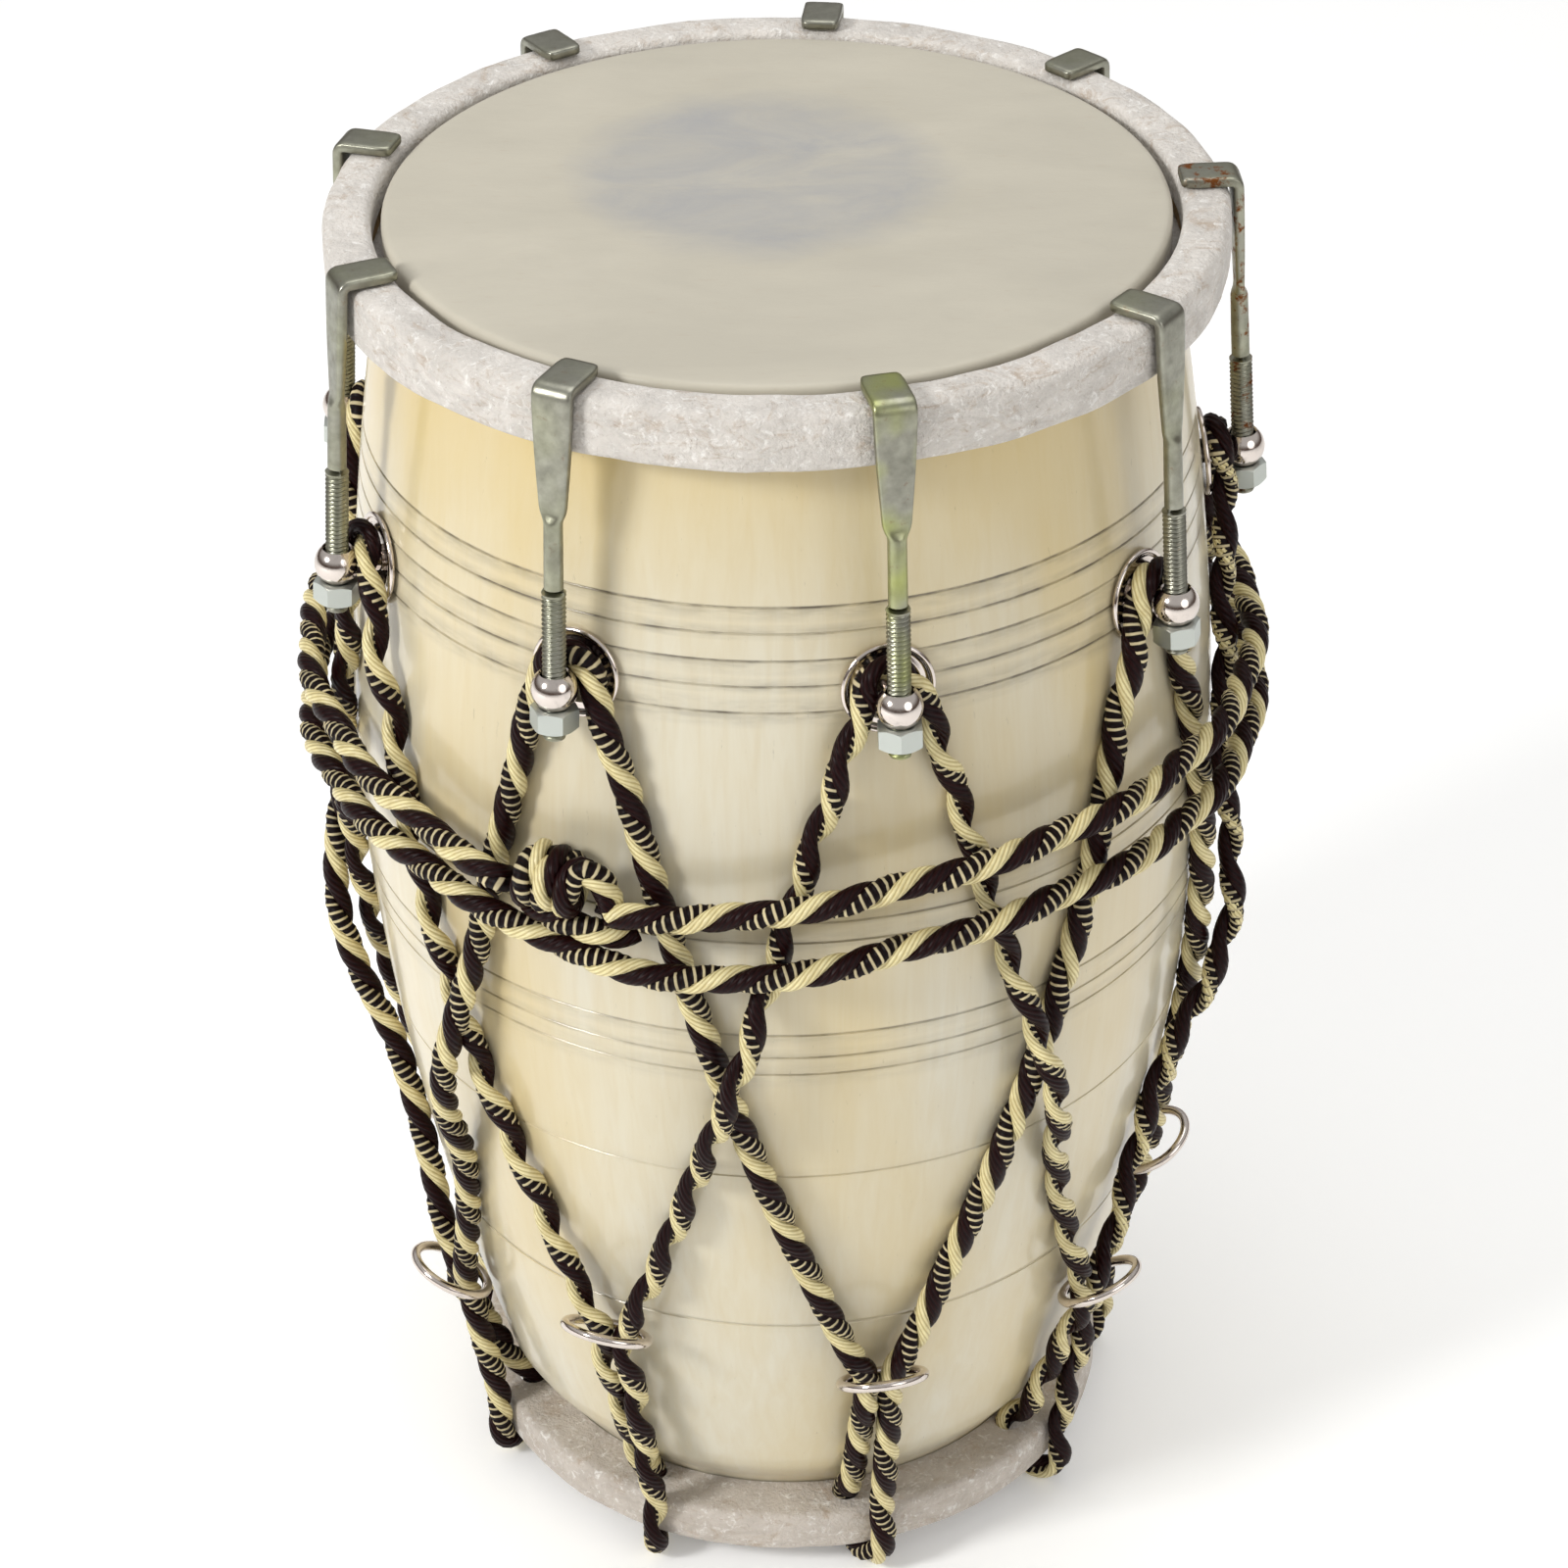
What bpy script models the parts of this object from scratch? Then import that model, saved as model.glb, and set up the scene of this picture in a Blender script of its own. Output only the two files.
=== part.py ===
"""A two-headed barrel drum: a bolt-tuned upper head and a rope-laced lower head.

Metres, +Z up. The drum's axis is the Z axis and the lower skin rests on z = 0.
Angles around the drum are measured from the front (-Y) towards +X.
"""

import math

import bmesh
import bpy
import numpy as np
from mathutils import Matrix, Vector

# Driving dimensions.
TOTAL_HEIGHT = 0.4044
BELLY_RADIUS = 0.1212
BELLY_HEIGHT = 0.240
BARREL_POWER = 1.7
UPPER_SHOULDER_RADIUS = 0.1068
LOWER_SHOULDER_RADIUS = 0.0898
SHELL_WALL = 0.009
UPPER_STEP = 0.0016
FOOT_HEIGHT = 0.0158
FLARE_SHARE = 0.42
FLARE_RISE = 0.0062

# Heads: hide thickness, then each head's skirt and hoop.
HIDE = 0.0012
GAP = 0.0003
UPPER_SKIRT_RADIUS = 0.1045
UPPER_HOOP_INNER = 0.107
UPPER_HOOP_WIDTH = 0.013
UPPER_HOOP_DEPTH = 0.0163
UPPER_HOOP_RISE = 0.0004
LOWER_SKIRT_RADIUS = 0.0808
LOWER_HOOP_BAND = 0.0058
LOWER_HOOP_DEPTH = 0.0135
HOOP_CHAMFER = 0.0018
LAP = 0.0085
PASTE_RADIUS = 0.048
PASTE_DEPTH = 0.0015

# Cord.
ROPE_DIAMETER = 0.0072
PAIR_GAP = 0.0004
FLOOR_CLEARANCE = 0.0008
HOLE_CLEARANCE = 0.0005
CORD_SLACK = 0.0001

# Lacing: how fast a leg turns where the barrel is thin, and how far a crossing lifts it.
LEG_TURN_POWER = 3.5
RING_RISE_LENGTH = 0.045
CROSSING_REACH = 0.17

# Lacing at the lower hoop: heights above the shoulder or the hoop where the cord bends.
SHOULDER_REST = 0.006
FLARE_REST = 0.0102
HOLE_ENTRY = 0.001
HOOP_EXIT = 0.002

# Tuning fittings.
FITTINGS = 9
FIRST_FITTING = math.radians(-26.8)
EYE_DROP = 0.0814
POST_RADIUS = 0.0034
POST_DEPTH = 0.007
WASHER_RADIUS = 0.0125
WASHER_THICKNESS = 0.0012
WASHER_RIM = 0.0011
BALL_RADIUS = 0.0061
BALL_HALF_HEIGHT = 0.0046
BOLT_DIAMETER = 0.00635
BOLT_CLEARANCE = 0.0001
BOLT_SHANK = 0.0056
BOLT_CHAMFER = 0.0008
THREAD_STEP = 0.0005
STRAP_WIDTH = 0.011
STRAP_NECK = 0.006
STRAP_THICKNESS = 0.003
STRAP_GAP = 0.0007
STRAP_LENGTH = 0.034
NECK_LENGTH = 0.004
SHANK_LENGTH = 0.021
BOLT_TAIL = 0.003
NUT_FLATS = 0.0111
NUT_HEIGHT = 0.006

# Tuning rings: wire, slack round the cord pair, lean, and each one's rise above the lower hoop.
RING_WIRE = 0.0029
RING_SLACK = 0.0031
RING_LEAN = math.radians(32)
RING_RISES = (0.078, 0.065, 0.064, 0.058, 0.067, 0.055, 0.070, 0.061, 0.051)

# Belt: depth of its two strands below the eyes, how far each sags near the knot, and the knot.
BELT_DROPS = (0.047, 0.066)
BELT_SAGS = (0.014, 0.012)
BELT_SAG_ANGLES = (math.radians(5), math.radians(15))
BELT_SAG_WIDTHS = (math.radians(32), math.radians(25))
BELT_DIP = 0.0011
BELT_DIP_REACH = math.radians(6)
BELT_SWAP_WIDTH = math.radians(36)
BELT_SWAP_REACH = math.radians(8.5)
KNOT_HALF_WIDTH = 0.0148
KNOT_HALF_HEIGHT = 0.0105
KNOT_HALF_DEPTH = 0.0075
KNOT_DROP = 0.0565

# Fineness of the facets.
SIDES = 36
TUBE_SIDES = 8
UNDER_STATIONS = 6
OVER_STATIONS = 7
BELT_STATIONS = 6

# Derived sizes.
ROPE_RADIUS = ROPE_DIAMETER / 2
PAIR_HALF = (ROPE_DIAMETER + PAIR_GAP) / 2
FITTING_STEP = 2 * math.pi / FITTINGS
SHELL_BOTTOM = HIDE + GAP
SHELL_TOP = TOTAL_HEIGHT - HIDE - GAP
UPPER_HOOP_TOP = TOTAL_HEIGHT + UPPER_HOOP_RISE
UPPER_HOOP_BOTTOM = UPPER_HOOP_TOP - UPPER_HOOP_DEPTH
UPPER_HOOP_RADIUS = UPPER_HOOP_INNER + UPPER_HOOP_WIDTH
UPPER_SHOULDER = UPPER_HOOP_BOTTOM - 2 * GAP - UPPER_STEP
LOWER_HOOP_BOTTOM = FLOOR_CLEARANCE + ROPE_DIAMETER + HOLE_CLEARANCE
LOWER_HOOP_TOP = LOWER_HOOP_BOTTOM + LOWER_HOOP_DEPTH
LOWER_HOOP_INNER = LOWER_SKIRT_RADIUS + GAP + ROPE_DIAMETER + HOLE_CLEARANCE
LOWER_HOOP_RADIUS = LOWER_HOOP_INNER + LOWER_HOOP_BAND
LOWER_SHOULDER = LOWER_HOOP_TOP + FOOT_HEIGHT
LACE_HOLE_RADIUS = ROPE_RADIUS + HOLE_CLEARANCE
LACE_HOLE_CENTRE = LOWER_SKIRT_RADIUS + GAP + ROPE_RADIUS
LACE_OUTER_CENTRE = LOWER_HOOP_RADIUS + GAP + ROPE_RADIUS
COVER = GAP + ROPE_RADIUS
OVER_LIFT = ROPE_DIAMETER + GAP
BIGHT_RADIUS = POST_RADIUS + GAP + ROPE_RADIUS
EYE_HEIGHT = TOTAL_HEIGHT - EYE_DROP
STANDOFF = WASHER_THICKNESS + 2 * GAP + ROPE_DIAMETER + BOLT_DIAMETER / 2 + CORD_SLACK
NUT_RADIUS = NUT_FLATS / 2
BOLT_CORNER = BOLT_DIAMETER / 2 / math.cos(math.pi / 8)
HOLE_RADIUS = (BOLT_CORNER + BOLT_CLEARANCE) / math.cos(math.pi / 12)
RING_INNER = ROPE_DIAMETER + PAIR_GAP / 2 + RING_SLACK
RING_MEAN = RING_INNER + RING_WIRE / 2
RING_SHIFT = 1.25 * RING_SLACK


def shell_radius(height):
    """Outer radius of the barrel between its shoulders: fullest at the belly, drawn in both ways."""
    if height >= BELLY_HEIGHT:
        end_radius, end = UPPER_SHOULDER_RADIUS, UPPER_SHOULDER
    else:
        end_radius, end = LOWER_SHOULDER_RADIUS, LOWER_SHOULDER
    share = abs(height - BELLY_HEIGHT) / abs(end - BELLY_HEIGHT)
    return BELLY_RADIUS - (BELLY_RADIUS - end_radius) * share**BARREL_POWER


def shell_slope(height):
    """Growth of the barrel's radius with height."""
    step = 0.0005
    return (shell_radius(height + step) - shell_radius(height - step)) / (2 * step)


def around(angle, radius, height):
    """The point at this angle from the front."""
    return Vector((radius * math.sin(angle), -radius * math.cos(angle), height))


def fitting_angle(number):
    return FIRST_FITTING + number * FITTING_STEP


def make_material(name, colour, roughness, metallic=0.0):
    material = bpy.data.materials.new(name)
    material.use_nodes = True
    shader = material.node_tree.nodes["Principled BSDF"]
    shader.inputs["Base Color"].default_value = (*colour, 1)
    shader.inputs["Roughness"].default_value = roughness
    shader.inputs["Metallic"].default_value = metallic
    material.diffuse_color = (*colour, 1)
    return material


def add_object(name, data, material):
    piece = bpy.data.objects.new(name, data)
    bpy.context.scene.collection.objects.link(piece)
    if not data.materials:
        data.materials.append(material)
    return piece


def mesh_from(bm, name, smooth_angle=35):
    bmesh.ops.remove_doubles(bm, verts=bm.verts, dist=1e-6)
    bmesh.ops.recalc_face_normals(bm, faces=bm.faces)
    mesh = bpy.data.meshes.new(name)
    bm.to_mesh(mesh)
    bm.free()
    mesh.shade_smooth()
    mesh.set_sharp_from_angle(angle=math.radians(smooth_angle))
    return mesh


def turned_mesh(name, outline, closed, steps=SIDES):
    """Turn an outline of (radius, height) pairs; an open outline starts and ends on the axis."""
    bm = bmesh.new()
    points = [bm.verts.new((radius, 0, height)) for radius, height in outline]
    pairs = list(zip(points, points[1:]))
    if closed:
        pairs.append((points[-1], points[0]))
    edges = [bm.edges.new(pair) for pair in pairs]
    bmesh.ops.spin(
        bm, geom=points + edges, cent=(0, 0, 0), axis=(0, 0, 1), angle=2 * math.pi, steps=steps, use_merge=True
    )
    return mesh_from(bm, name)


def rod_mesh(name, radius, start, end, sides):
    """A plain round bar between two points."""
    bm = bmesh.new()
    line = Vector(end) - Vector(start)
    place = Matrix.Translation((Vector(start) + Vector(end)) / 2)
    place = place @ line.to_track_quat("Z", "Y").to_matrix().to_4x4()
    bmesh.ops.create_cone(
        bm, cap_ends=True, segments=sides, radius1=radius, radius2=radius, depth=line.length, matrix=place
    )
    return mesh_from(bm, name)


def helper(mesh):
    """A cutter or an added part: a hidden object that only a Boolean reads."""
    piece = bpy.data.objects.new(mesh.name, mesh)
    bpy.context.scene.collection.objects.link(piece)
    piece.hide_render = True
    piece.display_type = "WIRE"
    return piece


def combine(piece, other, operation):
    modifier = piece.modifiers.new(operation.lower(), "BOOLEAN")
    modifier.operation = operation
    modifier.solver = "EXACT"
    modifier.object = other


def settled_mesh(piece, name):
    """The piece's shape with its modifiers applied, as a mesh that copies can share."""
    bpy.context.view_layer.update()
    graph = bpy.context.evaluated_depsgraph_get()
    mesh = bpy.data.meshes.new_from_object(piece.evaluated_get(graph))
    mesh.name = name
    mesh.materials.clear()
    return mesh


def joined(name, meshes):
    """Several meshes that don't touch, in one mesh."""
    bm = bmesh.new()
    for mesh in meshes:
        bm.from_mesh(mesh)
    return mesh_from(bm, name)


def tube(name, points, closed, material):
    curve = bpy.data.curves.new(name, "CURVE")
    curve.dimensions = "3D"
    curve.bevel_depth = ROPE_RADIUS
    curve.bevel_resolution = TUBE_SIDES // 2 - 2
    curve.use_fill_caps = True
    spline = curve.splines.new("POLY")
    spline.points.add(len(points) - 1)
    for place, point in zip(spline.points, points):
        place.co = (*point, 1)
    spline.use_cyclic_u = closed
    spline.use_smooth = True
    return add_object(name, curve, material)


def eye_frame():
    """The (radius, height) of the ball's centre, and the wood's outward normal at the eye."""
    normal = Vector((1, -shell_slope(EYE_HEIGHT))).normalized()
    centre = Vector((shell_radius(EYE_HEIGHT), EYE_HEIGHT)) + normal * STANDOFF
    return centre, normal


def strap_top():
    """The (radius, height) where the hook's strap line meets the level of its tab."""
    return Vector(
        (
            UPPER_HOOP_RADIUS + STRAP_GAP + STRAP_THICKNESS / 2,
            UPPER_HOOP_TOP + GAP + STRAP_THICKNESS / 2,
        )
    )


def bolt_direction():
    """Unit (radius, height) vector up the bolt, from the ball to the hook."""
    return (strap_top() - eye_frame()[0]).normalized()


def make_shell(material):
    seat_top = LOWER_HOOP_TOP + GAP
    lower_seat = LOWER_SKIRT_RADIUS - HIDE - GAP
    upper_seat = UPPER_SKIRT_RADIUS - HIDE - GAP
    flare = LOWER_SHOULDER_RADIUS - lower_seat
    outline = [(lower_seat, SHELL_BOTTOM), (lower_seat, seat_top)]
    outline.append((lower_seat + FLARE_SHARE * flare, seat_top + FLARE_RISE))
    rows = 9
    for row in range(rows + 1):
        height = LOWER_SHOULDER + (UPPER_SHOULDER - LOWER_SHOULDER) * row / rows
        outline.append((shell_radius(height), height))
    outline += [(upper_seat, UPPER_HOOP_BOTTOM - 2 * GAP), (upper_seat, SHELL_TOP)]
    outline += [(upper_seat - SHELL_WALL, SHELL_TOP)]
    inner_rows = 5
    inner_top = UPPER_SHOULDER - 2 * SHELL_WALL
    inner_bottom = LOWER_SHOULDER + 2 * SHELL_WALL
    for row in range(inner_rows + 1):
        height = inner_top + (inner_bottom - inner_top) * row / inner_rows
        outline.append((shell_radius(height) - SHELL_WALL, height))
    outline += [(lower_seat - SHELL_WALL, seat_top), (lower_seat - SHELL_WALL, SHELL_BOTTOM)]
    shell = add_object("shell", turned_mesh("shell", outline, closed=True), material)
    centre, normal = eye_frame()
    holes = []
    for number in range(FITTINGS):
        angle = fitting_angle(number)
        inner = centre - normal * (STANDOFF + POST_DEPTH + 2 * GAP)
        outer = centre + normal * STANDOFF
        start, end = around(angle, *inner), around(angle, *outer)
        holes.append(rod_mesh("post_hole", POST_RADIUS + 2 * GAP, start, end, TUBE_SIDES))
    combine(shell, helper(joined("post_holes", holes)), "DIFFERENCE")


def upper_head_outline():
    """Skin, skirt and web, then the hide lapped round the hoop, as one closed section."""
    skirt, inner, outer = UPPER_SKIRT_RADIUS, UPPER_HOOP_INNER, UPPER_HOOP_RADIUS
    top, bottom, edge = UPPER_HOOP_TOP, UPPER_HOOP_BOTTOM, HOOP_CHAMFER
    return [
        (0, TOTAL_HEIGHT),
        (skirt - 1.4 * HIDE, TOTAL_HEIGHT),
        (skirt, TOTAL_HEIGHT - 1.2 * HIDE),
        (skirt, bottom + HIDE),
        (outer - HIDE, bottom + HIDE),
        (outer - HIDE, top - HIDE),
        (inner + HIDE, top - HIDE),
        (inner + HIDE, top - LAP),
        (inner, top - LAP),
        (inner, top - edge),
        (inner + edge, top),
        (outer - edge, top),
        (outer, top - edge),
        (outer, bottom + edge),
        (outer - edge, bottom),
        (skirt - HIDE, bottom),
        (skirt - HIDE, TOTAL_HEIGHT - HIDE),
        (0, TOTAL_HEIGHT - HIDE),
    ]


def lower_head_outline():
    """The lower skin and its skirt, then a punched web out to the hide lapped round a thin hoop."""
    skirt, inner, outer = LOWER_SKIRT_RADIUS, LOWER_HOOP_INNER, LOWER_HOOP_RADIUS
    top, bottom, edge = LOWER_HOOP_TOP, LOWER_HOOP_BOTTOM, HOOP_CHAMFER
    return [
        (0, 0),
        (skirt - 1.4 * HIDE, 0),
        (skirt, 1.2 * HIDE),
        (skirt, top - HIDE),
        (inner + HIDE / 2, top - HIDE),
        (outer - HIDE, top - HIDE),
        (outer - HIDE, bottom + HIDE),
        (inner + HIDE, bottom + HIDE),
        (inner + HIDE, top - HIDE - LAP / 3),
        (inner, top - HIDE - LAP / 3),
        (inner, bottom + edge),
        (inner + edge, bottom),
        (outer - edge, bottom),
        (outer, bottom + edge),
        (outer, top - edge),
        (outer - edge, top),
        (skirt - HIDE, top),
        (skirt - HIDE, HIDE),
        (0, HIDE),
    ]


def make_heads(hide, cane, iron, paste):
    add_object("upper_head", turned_mesh("upper_head", upper_head_outline(), closed=False), hide)
    lower = add_object("lower_head", turned_mesh("lower_head", lower_head_outline(), closed=False), hide)
    reach = 2 * HIDE
    holes = []
    for number in range(FITTINGS):
        angle = fitting_angle(number) - PAIR_HALF / LACE_HOLE_CENTRE
        start = around(angle, LACE_HOLE_CENTRE, LOWER_HOOP_TOP - HIDE - reach)
        end = around(angle, LACE_HOLE_CENTRE, LOWER_HOOP_TOP + reach)
        holes.append(rod_mesh("lace_hole", LACE_HOLE_RADIUS, start, end, TUBE_SIDES))
    combine(lower, helper(joined("lace_holes", holes)), "DIFFERENCE")
    wall = HIDE + GAP
    for name, inner, outer, bottom, top, material in (
        ("upper_hoop_core", UPPER_HOOP_INNER, UPPER_HOOP_RADIUS, UPPER_HOOP_BOTTOM, UPPER_HOOP_TOP, cane),
        ("lower_hoop_core", LOWER_HOOP_INNER, LOWER_HOOP_RADIUS, LOWER_HOOP_BOTTOM, LOWER_HOOP_TOP, iron),
    ):
        section = [
            (inner + wall, bottom + wall),
            (outer - wall, bottom + wall),
            (outer - wall, top - wall),
            (inner + wall, top - wall),
        ]
        add_object(name, turned_mesh(name, section, closed=True), material)
    top = TOTAL_HEIGHT - HIDE - GAP
    disc = [(0, top), (PASTE_RADIUS * 0.93, top), (PASTE_RADIUS, top - PASTE_DEPTH * 0.4)]
    disc += [(PASTE_RADIUS * 0.85, top - PASTE_DEPTH), (0, top - PASTE_DEPTH)]
    add_object("bass_paste", turned_mesh("bass_paste", disc, closed=False, steps=18), paste)


def lofted_mesh(name, loops):
    """Skin a row of equal loops, with a cap on each end."""
    bm = bmesh.new()
    rows = [[bm.verts.new(point) for point in loop] for loop in loops]
    for row in rows:
        for first, second in zip(row, row[1:] + row[:1]):
            bm.edges.new((first, second))
    for low, high in zip(rows, rows[1:]):
        edges = [bm.edges.get(pair) for row in (low, high) for pair in zip(row, row[1:] + row[:1])]
        bmesh.ops.bridge_loops(bm, edges=edges)
    bmesh.ops.contextual_create(bm, geom=rows[0])
    bmesh.ops.contextual_create(bm, geom=rows[-1])
    return mesh_from(bm, name)


def eight_sided(centre, tangent, half_width, half_depth, flatness):
    """A loop of eight points round a path in the XZ plane: a circle at flatness 0.414, a bar near 1."""
    across = Vector((tangent[1], 0, -tangent[0]))
    side = Vector((0, 1, 0))
    middle = Vector((centre[0], 0, centre[1]))
    corners = [(1, flatness), (flatness, 1), (-flatness, 1), (-1, flatness)]
    corners += [(-x, -y) for x, y in corners]
    return [middle + side * (x * half_width) + across * (y * half_depth) for x, y in corners]


def hook_mesh():
    """Flat tab over the hoop, a bend, a strap narrowing to a round shank, and the threaded end."""
    centre, _ = eye_frame()
    top = strap_top() - centre
    up = bolt_direction()
    level = Vector((1, 0))
    reach = UPPER_HOOP_RADIUS - UPPER_HOOP_INNER
    bend = STRAP_THICKNESS / 2 + STRAP_GAP
    half = STRAP_THICKNESS / 2
    length = top.length
    strap_end = length - STRAP_LENGTH
    shank_end = strap_end - SHANK_LENGTH
    tail = -(BALL_HALF_HEIGHT + GAP + NUT_HEIGHT + BOLT_TAIL)
    bar, round_bar = 0.75, math.tan(math.radians(22.5))
    loops = []
    inner_end = top - level * (reach + bend)
    for share, width in ((0.0, 0.42), (0.12, 0.5)):
        loops.append(
            eight_sided(inner_end + level * (share * reach), level, STRAP_WIDTH * width, half, bar)
        )
    for share in (0.0, 0.33, 0.67, 1.0):
        before = top - level * (bend * (1 - share))
        after = top - up * (bend * share)
        tangent = (level * (1 - share) - up * share).normalized()
        place = before * (1 - share) + after * share
        loops.append(eight_sided(place, tangent, STRAP_WIDTH / 2, half, bar))
    down = -up
    rod, thread = BOLT_SHANK / 2, BOLT_DIAMETER / 2
    lengthwise = (
        (length - 0.4 * STRAP_LENGTH, STRAP_WIDTH * 0.47, half, bar),
        (strap_end, STRAP_NECK / 2, half, 0.55),
        (strap_end - NECK_LENGTH, rod, rod, round_bar),
        (shank_end, rod, rod, round_bar),
        (shank_end - THREAD_STEP, thread, thread, round_bar),
        (tail + BOLT_CHAMFER, thread, thread, round_bar),
        (tail, thread - BOLT_CHAMFER, thread - BOLT_CHAMFER, round_bar),
    )
    for along, half_width, half_depth, flatness in lengthwise:
        loops.append(eight_sided(up * along, down, half_width, half_depth, flatness))
    return lofted_mesh("hook_bolt", loops)


def ball_mesh():
    """A ball with flats above and below, bored for the bolt, on a post that runs into the wood."""
    up = bolt_direction()
    lean = Matrix.Rotation(math.atan2(up[0], up[1]), 4, "Y")
    bm = bmesh.new()
    bmesh.ops.create_uvsphere(bm, u_segments=10, v_segments=6, radius=BALL_RADIUS)
    for side in (1, -1):
        cut = bmesh.ops.bisect_plane(
            bm,
            geom=bm.verts[:] + bm.edges[:] + bm.faces[:],
            plane_co=(0, 0, side * BALL_HALF_HEIGHT),
            plane_no=(0, 0, side),
            clear_outer=True,
        )
        rim = [item for item in cut["geom_cut"] if isinstance(item, bmesh.types.BMEdge)]
        bmesh.ops.edgenet_fill(bm, edges=rim)
    bm.transform(lean)
    ball = helper(mesh_from(bm, "ball"))
    _, normal = eye_frame()
    inward = Vector((-normal[0], 0, -normal[1]))
    post = rod_mesh("post", POST_RADIUS, (0, 0, 0), inward * (STANDOFF + POST_DEPTH), TUBE_SIDES)
    combine(ball, helper(post), "UNION")
    along = Vector((up[0], 0, up[1]))
    bore = rod_mesh("bore", HOLE_RADIUS, along * -0.02, along * 0.02, 12)
    combine(ball, helper(bore), "DIFFERENCE")
    return settled_mesh(ball, "eye_post")


def washer_mesh():
    """A thin dished washer with a raised rim, bored for the post; its own axis is Z."""
    bore = POST_RADIUS + GAP
    rim = WASHER_RADIUS
    section = [
        (bore, 0),
        (rim, 0),
        (rim, WASHER_THICKNESS),
        (rim - WASHER_RIM, WASHER_THICKNESS),
        (rim - 2 * WASHER_RIM, WASHER_THICKNESS * 0.7),
        (bore, WASHER_THICKNESS * 0.7),
    ]
    return turned_mesh("eye_washer", section, closed=True, steps=12)


def nut_mesh():
    """A hexagon nut with a plain bore; its axis is Z and its seat is at the top."""
    bm = bmesh.new()
    for top in (0, -NUT_HEIGHT):
        for number in range(12):
            turn = number * math.pi / 6
            corner = NUT_RADIUS / math.cos(math.pi / 6) if number % 2 else NUT_RADIUS
            bm.verts.new((corner * math.cos(turn), corner * math.sin(turn), top))
            bm.verts.new((HOLE_RADIUS * math.cos(turn), HOLE_RADIUS * math.sin(turn), top))
    bm.verts.ensure_lookup_table()
    for number in range(12):
        here, after = 2 * number, 2 * ((number + 1) % 12)
        low = 24
        bm.faces.new([bm.verts[i] for i in (here, after, after + 1, here + 1)])
        bm.faces.new([bm.verts[i + low] for i in (here, here + 1, after + 1, after)])
        bm.faces.new([bm.verts[i] for i in (here, here + low, after + low, after)])
        bm.faces.new([bm.verts[i] for i in (here + 1, after + 1, after + 1 + low, here + 1 + low)])
    return mesh_from(bm, "nut")


def ring_mesh():
    """A closed wire ring whose axis is Z."""
    radius = RING_WIRE / 2
    section = []
    for number in range(6):
        turn = math.radians(60 * number)
        section.append((RING_MEAN + radius * math.cos(turn), radius * math.sin(turn)))
    return turned_mesh("tuning_ring", section, closed=True, steps=15)


def place(piece, angle, radius, height, lean=0.0):
    """Stand a piece at this angle, turned so that its own +X points outwards, leaning about its Y."""
    turn = Matrix.Rotation(angle - math.pi / 2, 4, "Z") @ Matrix.Rotation(lean, 4, "Y")
    piece.matrix_world = Matrix.Translation(around(angle, radius, height)) @ turn


def make_fittings(zinc, chrome):
    centre, normal = eye_frame()
    up = bolt_direction()
    lean = math.atan2(up[0], up[1])
    hook, ball, washer, nut = hook_mesh(), ball_mesh(), washer_mesh(), nut_mesh()
    seat = centre - up * (BALL_HALF_HEIGHT + GAP)
    wood = centre - normal * (STANDOFF - GAP)
    tilt = math.atan2(normal[0], normal[1])
    for number in range(FITTINGS):
        angle = fitting_angle(number)
        label = number + 1
        place(add_object(f"hook_bolt_{label}", hook, zinc), angle, *centre)
        place(add_object(f"eye_post_{label}", ball, chrome), angle, *centre)
        place(add_object(f"eye_washer_{label}", washer, chrome), angle, *wood, lean=tilt)
        place(add_object(f"nut_{label}", nut, zinc), angle, *seat, lean=lean)


def ring_height(number):
    return LOWER_HOOP_TOP + RING_RISES[number % FITTINGS]


def ring_cord_radius(number):
    """Radius of the cord pair where the ring's wire passes between it and the wood."""
    behind = RING_MEAN - RING_SHIFT
    wood = shell_radius(ring_height(number) - behind * math.sin(RING_LEAN))
    return wood + RING_WIRE / 2 + 2 * GAP + behind * math.cos(RING_LEAN)


def make_rings(chrome):
    ring = ring_mesh()
    for number in range(FITTINGS):
        radius = ring_cord_radius(number) + RING_SHIFT * math.cos(RING_LEAN)
        height = ring_height(number) + RING_SHIFT * math.sin(RING_LEAN)
        piece = add_object(f"tuning_ring_{number + 1}", ring, chrome)
        place(piece, fitting_angle(number), radius, height, lean=-RING_LEAN)


def taut_stations(start, end, count):
    """Heights down a taut cord, past its washer and halfway round, and the share of the turn at each."""
    heights = np.linspace(start, end, 200)
    weights = np.array([shell_radius(height) ** -LEG_TURN_POWER for height in heights])
    passed = np.concatenate([[0], np.cumsum((weights[1:] + weights[:-1]) / 2)])
    shares = passed / passed[-1]
    halfway = np.interp(0.5, shares, heights)
    upper = np.linspace(start - WASHER_RADIUS, halfway, count + 1)
    lower = np.linspace(halfway, end, count + 1)[1:]
    stations = np.concatenate([upper, lower])
    return stations, np.interp(-stations, -heights, shares)


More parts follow.
